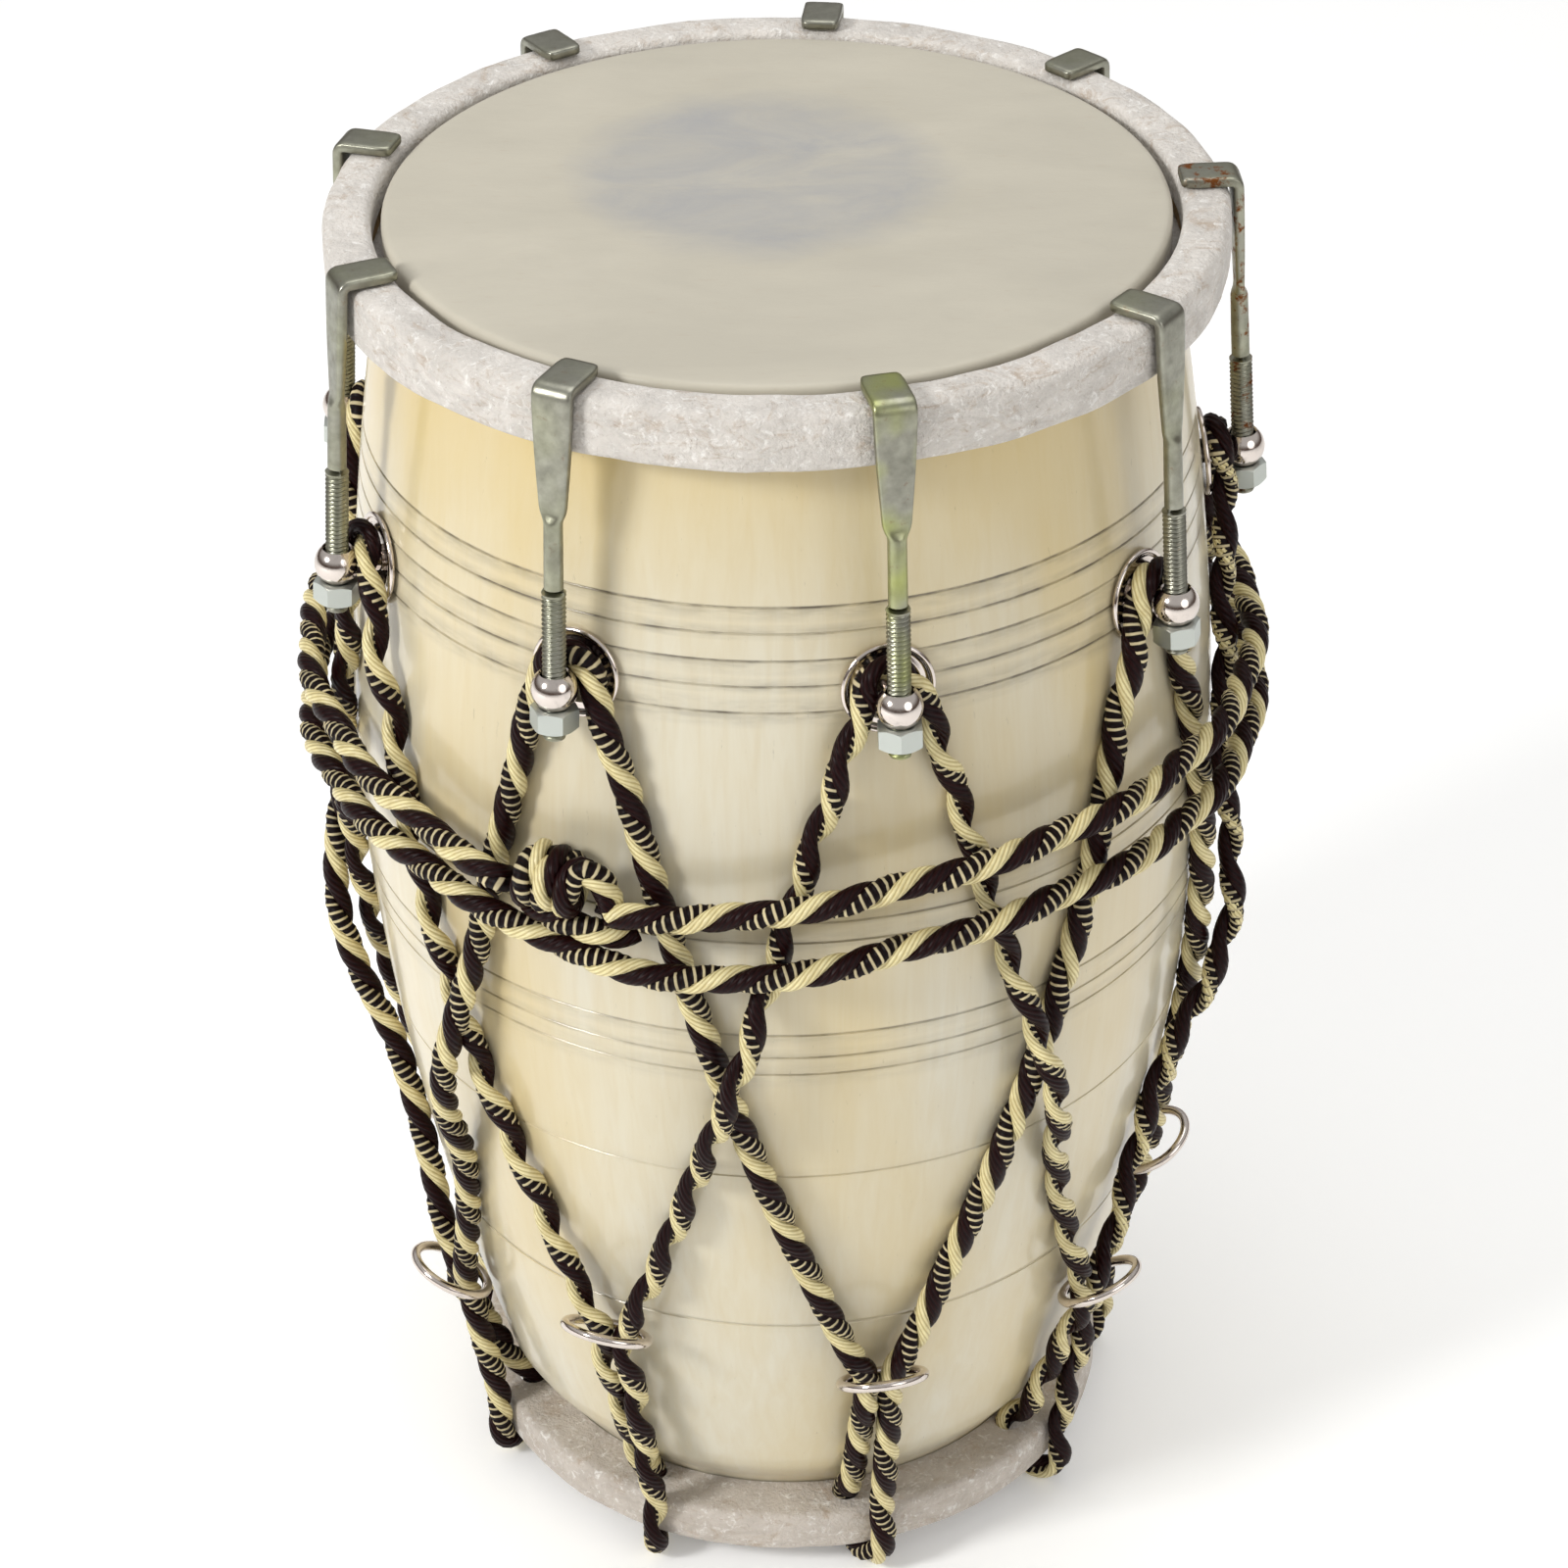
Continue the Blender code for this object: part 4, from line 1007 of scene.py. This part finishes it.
class DRUM_OT_nuts(bpy.types.Operator):
    """Cut the chamfered hexagon nuts"""
    bl_idname = "drum.nuts"
    bl_label = "Nuts"

    def execute(self, context):
        clear_selection()
        corner = NUT_FLATS / 2 / math.cos(math.pi / 6)
        bpy.ops.mesh.primitive_cylinder_add(
            vertices=6, radius=corner, depth=NUT_HEIGHT, location=(0, 0, -NUT_HEIGHT / 2)
        )
        nut = bpy.context.object
        nut.data.transform(nut.matrix_world)
        nut.matrix_world = Matrix.Identity(4)
        bpy.context.view_layer.update()
        flats, drop, outside = NUT_FLATS / 2 * 0.97, 0.0007, corner + 0.0002
        chamfer = [(0, -NUT_HEIGHT), (flats, -NUT_HEIGHT), (outside, -NUT_HEIGHT + drop),
                   (outside, -drop), (flats, 0), (0, 0)]
        cut_with(nut, turned("chamfer_tool", chamfer, 60), "INTERSECT")
        bore, countersink, past = BOLT_DIAMETER / 2 + 0.0001, 0.0005, 0.001
        mouth = bore + countersink + past
        drill = [(0, -NUT_HEIGHT - past), (mouth, -NUT_HEIGHT - past), (bore, -NUT_HEIGHT + countersink),
                 (bore, -countersink), (mouth, past), (0, past)]
        cut_with(nut, turned("drill_tool", drill, 36), "DIFFERENCE")
        nut.data.transform(Matrix.Rotation(math.radians(18), 4, "Z"))
        nut.data.transform(bolt_matrix(-(BALL_HALF_HEIGHT + GAP)))
        smooth_shade(nut, 30)
        zinc = bpy.data.materials["zinc_plated_steel"]
        for number in range(FITTINGS):
            label = number + 1
            made = copy_round(nut, number, f"hex_nut_{label}")
            settle(made, zinc, f"bolt_nut_{label}", "zinc_plated_steel", f"nut_{label}")
        bpy.data.objects.remove(nut)
        return {"FINISHED"}


def ring_height(number):
    return LOWER_HOOP_TOP + RING_RISES[number % FITTINGS]


def ring_cord_radius(number):
    behind = RING_MEAN - RING_SHIFT
    wood = shell_radius(ring_height(number) - behind * math.sin(RING_LEAN))
    return wood + RING_WIRE / 2 + 2 * GAP + behind * math.cos(RING_LEAN)


class DRUM_OT_slip_rings(bpy.types.Operator):
    """Bend the wire slip rings that draw the cord pairs together"""
    bl_idname = "drum.slip_rings"
    bl_label = "Slip rings"

    def execute(self, context):
        plate = bpy.data.materials["polished_nickel_plate"]
        for number in range(FITTINGS):
            label = number + 1
            clear_selection()
            bpy.ops.mesh.primitive_torus_add(
                major_radius=RING_MEAN, minor_radius=RING_WIRE / 2, major_segments=72, minor_segments=18
            )
            ring = bpy.context.object
            ring.name = f"wire_ring_{label}"
            radius = ring_cord_radius(number) + RING_SHIFT * math.cos(RING_LEAN)
            height = ring_height(number) + RING_SHIFT * math.sin(RING_LEAN)
            angle = fitting_angle(number)
            turn = Matrix.Rotation(angle - math.pi / 2, 4, "Z") @ Matrix.Rotation(-RING_LEAN, 4, "Y")
            ring.data.transform(Matrix.Translation(around(angle, radius, height)) @ turn)
            smooth_shade(ring, 60)
            settle(ring, plate, f"slip_ring_{label}", "chrome_plate", f"tuning_ring_{label}")
        return {"FINISHED"}


# ---------------------------------------------------------------- cords

def leg_points(hook, lace, over):
    """Cord from one side of a hook's post down to the ring pair of the next lace."""
    side = 1 if lace > hook else -1
    ring = ring_height(lace)
    first = fitting_angle(hook) + side * BIGHT_RADIUS / shell_radius(EYE_HEIGHT)
    last = fitting_angle(lace) - side * PAIR_HALF / ring_cord_radius(lace)
    middle = (fitting_angle(hook) + fitting_angle(lace)) / 2
    heights = np.linspace(EYE_HEIGHT, ring, 200)
    weights = np.array([shell_radius(height) ** -LEG_TURN_POWER for height in heights])
    passed = np.concatenate([[0], np.cumsum((weights[1:] + weights[:-1]) / 2)])
    shares = passed / passed[-1]
    halfway = np.interp(0.5, shares, heights)
    stations = np.concatenate([
        np.linspace(EYE_HEIGHT - WASHER_RADIUS, halfway, LEG_STATIONS + 1),
        np.linspace(halfway, ring, LEG_STATIONS + 1)[1:],
    ])
    points = []
    for height in stations:
        angle = first + (last - first) * np.interp(-height, -heights, shares)
        cover = COVER
        if EYE_HEIGHT - height < 2 * WASHER_RADIUS:
            cover += WASHER_THICKNESS + 3 * GAP
        if over:
            crossing = abs(angle - middle) / (CROSSING_REACH * FITTING_STEP)
            cover += (OVER_LIFT + 4 * GAP) * math.cos(min(crossing, 1) * math.pi / 2) ** 2
        rise = max(0.0, 1 - (height - ring) / RING_RISE_LENGTH)
        rise = rise * rise * (3 - 2 * rise)
        lift = (ring_cord_radius(lace) - shell_radius(ring) - COVER) * rise
        points.append(around(angle, shell_radius(height) + cover + lift, height))
    return points


def bight_points(hook):
    """Cord over the post, from its left to its right."""
    _, normal = eye_frame()
    cover = COVER + WASHER_THICKNESS + GAP
    middle = EYE_HEIGHT + normal[1] * cover
    points = []
    for turn in (-90, -60, -30, 0, 30, 60, 90):
        swing = math.radians(turn)
        height = middle + BIGHT_RADIUS * math.cos(swing)
        radius = shell_radius(height) + cover / normal[0]
        points.append(around(fitting_angle(hook) + BIGHT_RADIUS * math.sin(swing) / radius, radius, height))
    return points


def lace_points(lace):
    """Cord at the lower hoop: down through the punched hole, under the hoop and up its outer face."""
    centre, ring, top = fitting_angle(lace), ring_height(lace), ring_cord_radius(lace)
    shoulder = shell_radius(LOWER_SHOULDER + SHOULDER_REST) + COVER + 3 * GAP
    kink = ring - (RING_MEAN - RING_SHIFT) * math.sin(RING_LEAN)
    run = kink - LOWER_SHOULDER - SHOULDER_REST
    inside = [(top - share * (top - shoulder), kink - share * run) for share in (0, 0.5, 1)]
    inside += [
        (0.5 * shoulder + 0.5 * LACE_HOLE_CENTRE + 4 * GAP, LOWER_HOOP_TOP + FLARE_REST),
        (LACE_HOLE_CENTRE + CORD_SLACK, LOWER_HOOP_TOP + HOLE_ENTRY),
    ]
    bend = (LACE_OUTER_CENTRE - LACE_HOLE_CENTRE) / 2
    middle = LACE_HOLE_CENTRE + bend
    level = FLOOR_CLEARANCE + ROPE_RADIUS + bend
    inside_angle, outside_angle = centre - PAIR_HALF / middle, centre + PAIR_HALF / middle
    points = [around(centre - PAIR_HALF / radius, radius, height) for radius, height in inside]
    for number in range(9):
        turn = math.pi * number / 8
        angle = inside_angle + (outside_angle - inside_angle) * (1 - math.cos(turn)) / 2
        points.append(around(angle, middle - bend * math.cos(turn), level - bend * math.sin(turn)))
    face = LOWER_HOOP_TOP + HOOP_EXIT
    for share in (0, 0.4, 0.75):
        radius = LACE_OUTER_CENTRE + share * (top - LACE_OUTER_CENTRE)
        points.append(around(centre + PAIR_HALF / radius, radius, face + share * (ring - face)))
    return points


def lacing_points():
    """One closed cord: over a post, down to the next lace, up to the post after it, twice round."""
    points = []
    for step in range(FITTINGS):
        hook = 2 * step
        lace = hook + 1
        points += bight_points(hook)
        points += leg_points(hook, lace, hook >= FITTINGS)
        points += lace_points(lace)
        points += leg_points(lace + 1, lace, lace >= FITTINGS)[::-1]
    return points


def belt_height(strand, angle):
    away = (angle - FIRST_FITTING - BELT_SAG_ANGLES[strand] + math.pi) % (2 * math.pi) - math.pi
    sag = BELT_SAGS[strand] * math.exp(-((away / BELT_SAG_WIDTHS[strand]) ** 2))
    return EYE_HEIGHT - BELT_DROPS[strand] - sag


def belt_points():
    """A cord drawn twice round over the lacing; both its ends run into the knot."""
    swap_place = FITTINGS // 2 * FITTING_STEP
    steps = 2 * FITTINGS * BELT_STATIONS
    points = []
    for number in range(1, steps):
        turned_by = FITTING_STEP * number / BELT_STATIONS
        angle = FIRST_FITTING + turned_by
        second_turn = turned_by >= 2 * math.pi
        from_swap = turned_by - swap_place - (2 * math.pi if second_turn else 0)
        swap = min(max(from_swap / BELT_SWAP_WIDTH + 0.5, 0), 1)
        swap = swap * swap * (3 - 2 * swap)
        lower_share = 1 - swap if second_turn else swap
        height = belt_height(0, angle) * (1 - lower_share) + belt_height(1, angle) * lower_share
        between = abs((turned_by + FITTING_STEP / 4) % (FITTING_STEP / 2) - FITTING_STEP / 4)
        dip, reach = BELT_DIP, BELT_DIP_REACH
        if abs(from_swap) < FITTING_STEP / 4:
            dip, reach = (-8 * GAP, BELT_SWAP_REACH) if second_turn else (OVER_LIFT, BELT_SWAP_REACH)
        cover = COVER + OVER_LIFT + 3 * GAP
        if between < reach:
            cover -= dip * math.cos(between / reach * math.pi / 2) ** 2
        points.append(around(angle, shell_radius(height) + cover, height))
    return points


def smooth_path(points, closed, spacing):
    """Evenly spaced points on a smooth curve through these."""
    corners = np.array([tuple(point) for point in points])
    if closed:
        corners = np.vstack([corners[-2:], corners, corners[:3]])
    lengths = np.linalg.norm(np.diff(corners, axis=0), axis=1)
    at = np.concatenate([[0], np.cumsum(lengths)])
    slopes = np.diff(corners, axis=0) / lengths[:, None]
    before, after = lengths[:-1, None], lengths[1:, None]
    inner = (slopes[:-1] * after + slopes[1:] * before) / (after + before)
    slopes = np.vstack([slopes[:1], inner, slopes[-1:]])
    start, end = (at[2], at[-3]) if closed else (at[0], at[-1])
    count = max(4, round((end - start) / spacing))
    wanted = start + (end - start) * np.arange(count if closed else count + 1) / count
    span = np.clip(np.searchsorted(at, wanted, side="right") - 1, 0, len(lengths) - 1)
    share = ((wanted - at[span]) / lengths[span])[:, None]
    size = lengths[span][:, None]
    return (
        corners[span] * (2 * share**3 - 3 * share**2 + 1)
        + slopes[span] * size * (share**3 - 2 * share**2 + share)
        + corners[span + 1] * (3 * share**2 - 2 * share**3)
        + slopes[span + 1] * size * (share**3 - share**2)
    )


def carried_frames(path, closed):
    """Unit tangents along a path, and a sideways direction carried along it without twisting."""
    if closed:
        tangents = np.roll(path, -1, axis=0) - np.roll(path, 1, axis=0)
    else:
        tangents = np.gradient(path, axis=0)
    tangents /= np.linalg.norm(tangents, axis=1)[:, None]
    side = np.cross(tangents[0], (0.3, 0.2, 0.9))
    sides = []
    for tangent in tangents:
        side = side - tangent * (side @ tangent)
        side /= np.linalg.norm(side)
        sides.append(side)
    return tangents, np.array(sides)


def strand(name, points, closed, which, sizes):
    """One of the three strands twisted into a cord, as a tube with a map along and round it."""
    ribbed = STRANDS[which] == "wrapped"
    sides = RIBBED_SIDES if ribbed else SMOOTH_SIDES
    share = GOLD_SHARE if STRANDS[which] == "gold" else DARK_SHARE
    path = smooth_path(points, closed, sizes.wrap_spacing / RIB_SAMPLES if ribbed else SMOOTH_SPACING)
    tangents, sides_way = carried_frames(path, closed)
    steps = np.linalg.norm(np.diff(path, axis=0), axis=1)
    along = np.concatenate([[0], np.cumsum(steps)])
    length = along[-1] + (np.linalg.norm(path[0] - path[-1]) if closed else 0)
    turns = -length / sizes.lay_length
    if closed:
        carried = sides_way[-1] - tangents[0] * (sides_way[-1] @ tangents[0])
        carried /= np.linalg.norm(carried)
        slip = math.atan2(np.cross(sides_way[0], carried) @ tangents[0], sides_way[0] @ carried)
        turns = round(turns) - slip / (2 * math.pi)
    phase = 2 * math.pi * (turns * along / length + which / 3)
    other_way = np.cross(tangents, sides_way)
    outward = sides_way * np.cos(phase)[:, None] + other_way * np.sin(phase)[:, None]
    cord_radius = sizes.cord_thickness / 2
    thickness = cord_radius * share
    middles = path + outward * (cord_radius - thickness)
    if closed:
        lay = np.roll(middles, -1, axis=0) - np.roll(middles, 1, axis=0)
    else:
        lay = np.gradient(middles, axis=0)
    lay /= np.linalg.norm(lay, axis=1)[:, None]
    sideways = np.cross(lay, outward)
    sideways /= np.linalg.norm(sideways, axis=1)[:, None]
    size = np.full(len(path), thickness)
    if ribbed:
        size *= 1 + RIB_DEPTH * np.sin(2 * math.pi * along / sizes.wrap_spacing)
    rings = []
    for number in range(sides):
        turn = 2 * math.pi * number / sides
        way = outward * math.cos(turn) + STRAND_FLATTENING * sideways * math.sin(turn)
        rings.append(middles + way * size[:, None])
    rings = np.stack(rings, axis=1)
    rows = len(path) if closed else len(path) - 1
    here = np.arange(rows)[:, None] * sides
    after = (np.arange(rows)[:, None] + 1) % len(path) * sides
    side = np.arange(sides)[None]
    beside = (side + 1) % sides
    quads = np.stack([here + side, here + beside, after + beside, after + side], axis=2)
    faces = quads.reshape(-1, 4).tolist()
    if not closed:
        faces.append(list(range(sides))[::-1])
        faces.append([(len(path) - 1) * sides + number for number in range(sides)])
    piece = object_from(name, rings.reshape(-1, 3), [], faces)
    ends = np.append(along, length)
    round_it = np.arange(sides + 1) / sides
    start, end = (np.repeat(ends[part, None], sides, 1) for part in (slice(rows), slice(1, rows + 1)))
    around_it = np.stack([round_it[:-1], round_it[1:], round_it[1:], round_it[:-1]], axis=1)
    lay_map = np.zeros((len(piece.data.loops), 2), np.float32)
    lay_map[:rows * sides * 4, 0] = np.stack([start, start, end, end], axis=2).reshape(-1)
    lay_map[:rows * sides * 4, 1] = around_it[None].repeat(rows, 0).reshape(-1)
    layer = piece.data.uv_layers.new(name="lay")
    layer.data.foreach_set("uv", lay_map.ravel())
    for polygon in piece.data.polygons:
        polygon.use_smooth = True
    return piece


def strand_finishes(context):
    """The three strands' materials, made once."""
    made = {name: bpy.data.materials.get(f"{name}_strand") for name in STRANDS}
    if all(made.values()):
        return made
    sizes, colours = context.scene.drum_sizes, context.scene.drum_colours
    gold, maroon = tuple(colours.gold_strand), tuple(colours.maroon_strand)
    # The second colour of each satin strand is a painted shade tone for the valleys between threads, also
    # used for random mottling.
    made["gold"] = satin_strand("gold_strand", gold, linear("#9C8444"), 0.5, 0.36)
    made["maroon"] = satin_strand("maroon_strand", maroon, linear("#080203"), 0.12, 0.42)
    made["wrapped"] = wrapped_strand(colours, sizes)
    made["wrapped"].name = "wrapped_strand"
    return made


def lay_cord(context, name, points, closed, node):
    """Twist three strands along a route."""
    sizes = context.scene.drum_sizes
    finishes = strand_finishes(context)
    for which, kind in enumerate(STRANDS):
        piece = strand(f"{name}_{kind}_strand", points, closed, which, sizes)
        settle(piece, finishes[kind], "drum", "twisted_cord", node)


class DRUM_OT_lacing(bpy.types.Operator):
    """Lace the lower head to the posts with one closed twisted cord"""
    bl_idname = "drum.lacing"
    bl_label = "Lacing"

    def execute(self, context):
        lay_cord(context, "lacing", lacing_points(), True, "lacing_cord")
        return {"FINISHED"}


def knot_place(across, out, up):
    """A point near the knot: along the belt to the right, out from the wood, and up."""
    height = EYE_HEIGHT - KNOT_DROP + up
    radius = shell_radius(EYE_HEIGHT - KNOT_DROP) + KNOT_HALF_DEPTH + 2 * GAP + out
    return around(FIRST_FITTING + across / radius, radius, height)


class DRUM_OT_belt(bpy.types.Operator):
    """Draw the belt cord twice round over the lacing and tie its knot"""
    bl_idname = "drum.belt"
    bl_label = "Belt and knot"

    def execute(self, context):
        belt = belt_points()
        into_knot = [knot_place(-0.0145, -0.0004, -0.0058), knot_place(-0.0096, 0.0014, -0.0062)]
        lay_cord(context, "belt", belt + into_knot, False, "belt_cord")
        wraps = []
        for step in range(KNOT_STEPS + 1):
            turn = 2 * math.pi * (KNOT_TURNS * step / KNOT_STEPS) - math.pi / 2
            across = -0.0088 + 0.0135 * step / KNOT_STEPS
            wraps.append((across, 0.0018 + 0.0056 * math.cos(turn), 0.0004 + 0.0063 * math.sin(turn)))
        wraps += [(0.0085, 0.0044, 0.0078), (0.0126, 0.0036, 0.005), (0.0146, 0.0024, 0.0002)]
        route = [*(knot_place(*point) for point in wraps), belt[0]]
        lay_cord(context, "knot", route, False, "belt_knot")
        tail = [(-0.011, 0.001, -0.0085), (-0.003, 0.0034, -0.0098), (0.007, 0.004, -0.0108),
                (0.0148, 0.0022, -0.0126), (0.0188, -0.0024, -0.0136)]
        lay_cord(context, "knot_tail", [knot_place(*point) for point in tail], False, "belt_knot")
        return {"FINISHED"}


# ---------------------------------------------------------------- stage

class DRUM_OT_stage(bpy.types.Operator):
    """Set the pale floor, the soft lights and the camera"""
    bl_idname = "drum.stage"
    bl_label = "Stage"

    def execute(self, context):
        clear_selection()
        bpy.ops.mesh.primitive_plane_add(size=14, location=(0, 0, 0))
        floor = bpy.context.object
        floor.name = "floor"
        material, tree, shader = new_material("pale_paper_sweep", Roughness=0.9)
        soft = spread(tree, grain(tree, 0.8, 2), 0.3, 0.7)
        paint(tree, shader, blend_colour(tree, soft, linear("#FDFDFC"), linear("#FAFAF9")))
        shader.inputs["Emission Color"].default_value = (1, 1, 1, 1)
        shader.inputs["Emission Strength"].default_value = FLOOR_GLOW
        floor.data.materials.append(material)
        for light in LIGHTS:
            self.add_light(*light)
        self.surround(context)
        self.add_camera(context)
        context.scene.view_settings.view_transform = "Standard"
        return {"FINISHED"}

    def add_camera(self, context):
        camera = bpy.data.cameras.new("camera")
        camera.lens, camera.sensor_width = CAMERA_LENS, 36
        camera.clip_start, camera.clip_end = 0.05, 60
        holder = bpy.data.objects.new("camera", camera)
        bpy.context.scene.collection.objects.link(holder)
        ahead = Vector((0, math.cos(CAMERA_PITCH), -math.sin(CAMERA_PITCH)))
        right, above = Vector((1, 0, 0)), Vector((0, math.sin(CAMERA_PITCH), math.cos(CAMERA_PITCH)))
        across = right * math.cos(CAMERA_ROLL) + above * math.sin(CAMERA_ROLL)
        up = above * math.cos(CAMERA_ROLL) - right * math.sin(CAMERA_ROLL)
        facing = Matrix((across, up, -ahead)).transposed().to_4x4()
        holder.matrix_world = Matrix.Translation(CAMERA_PLACE) @ facing
        context.scene.camera = holder

    def add_light(self, name, place, size, power):
        light = bpy.data.lights.new(name, "AREA")
        light.shape, light.size, light.energy = "DISK", size, power
        lamp = bpy.data.objects.new(name, light)
        bpy.context.scene.collection.objects.link(lamp)
        aim = Vector(LIGHT_AIM) - Vector(place)
        lamp.matrix_world = Matrix.Translation(place) @ aim.to_track_quat("-Z", "Y").to_matrix().to_4x4()

    def surround(self, context):
        """A white room, warmer and darker towards its skirting, for the plated parts to mirror."""
        world = bpy.data.worlds.new("white_room")
        context.scene.world = world
        world.use_nodes = True
        tree = world.node_tree
        way = add_node(tree, "ShaderNodeTexCoord").outputs["Generated"]
        height = add_node(tree, "ShaderNodeSeparateXYZ", {"Vector": way}).outputs["Z"]
        tone = blend_colour(tree, spread(tree, height, 0.12, 0.42), linear("#7C6C64"), linear("#FFFFFF"))
        shade = tree.nodes["Background"]
        tree.links.new(tone, shade.inputs["Color"])
        shade.inputs["Strength"].default_value = ROOM_STRENGTH


class DRUM_PT_panel(bpy.types.Panel):
    bl_label = "Barrel drum"
    bl_idname = "DRUM_PT_panel"
    bl_space_type = "VIEW_3D"
    bl_region_type = "UI"
    bl_category = "Drum"

    def draw(self, context):
        layout = self.layout
        for operator in OPERATORS:
            layout.operator(operator.bl_idname)
        for group in (context.scene.drum_sizes, context.scene.drum_colours):
            box = layout.box()
            for name in group.__annotations__:
                box.prop(group, name)


OPERATORS = (
    DRUM_OT_stage, DRUM_OT_shell, DRUM_OT_heads, DRUM_OT_inner_parts, DRUM_OT_hook_bolts,
    DRUM_OT_eyes, DRUM_OT_nuts, DRUM_OT_slip_rings, DRUM_OT_lacing, DRUM_OT_belt,
)
CLASSES = (DrumSizes, DrumColours, *OPERATORS, DRUM_PT_panel)


def register():
    for made in CLASSES:
        bpy.utils.register_class(made)
    bpy.types.Scene.drum_sizes = PointerProperty(type=DrumSizes)
    bpy.types.Scene.drum_colours = PointerProperty(type=DrumColours)


def unregister():
    del bpy.types.Scene.drum_colours
    del bpy.types.Scene.drum_sizes
    for made in reversed(CLASSES):
        bpy.utils.unregister_class(made)


def main():
    register()
    for operator in OPERATORS:
        group, name = operator.bl_idname.split(".")
        getattr(getattr(bpy.ops, group), name)()


if __name__ == "__main__":
    main()
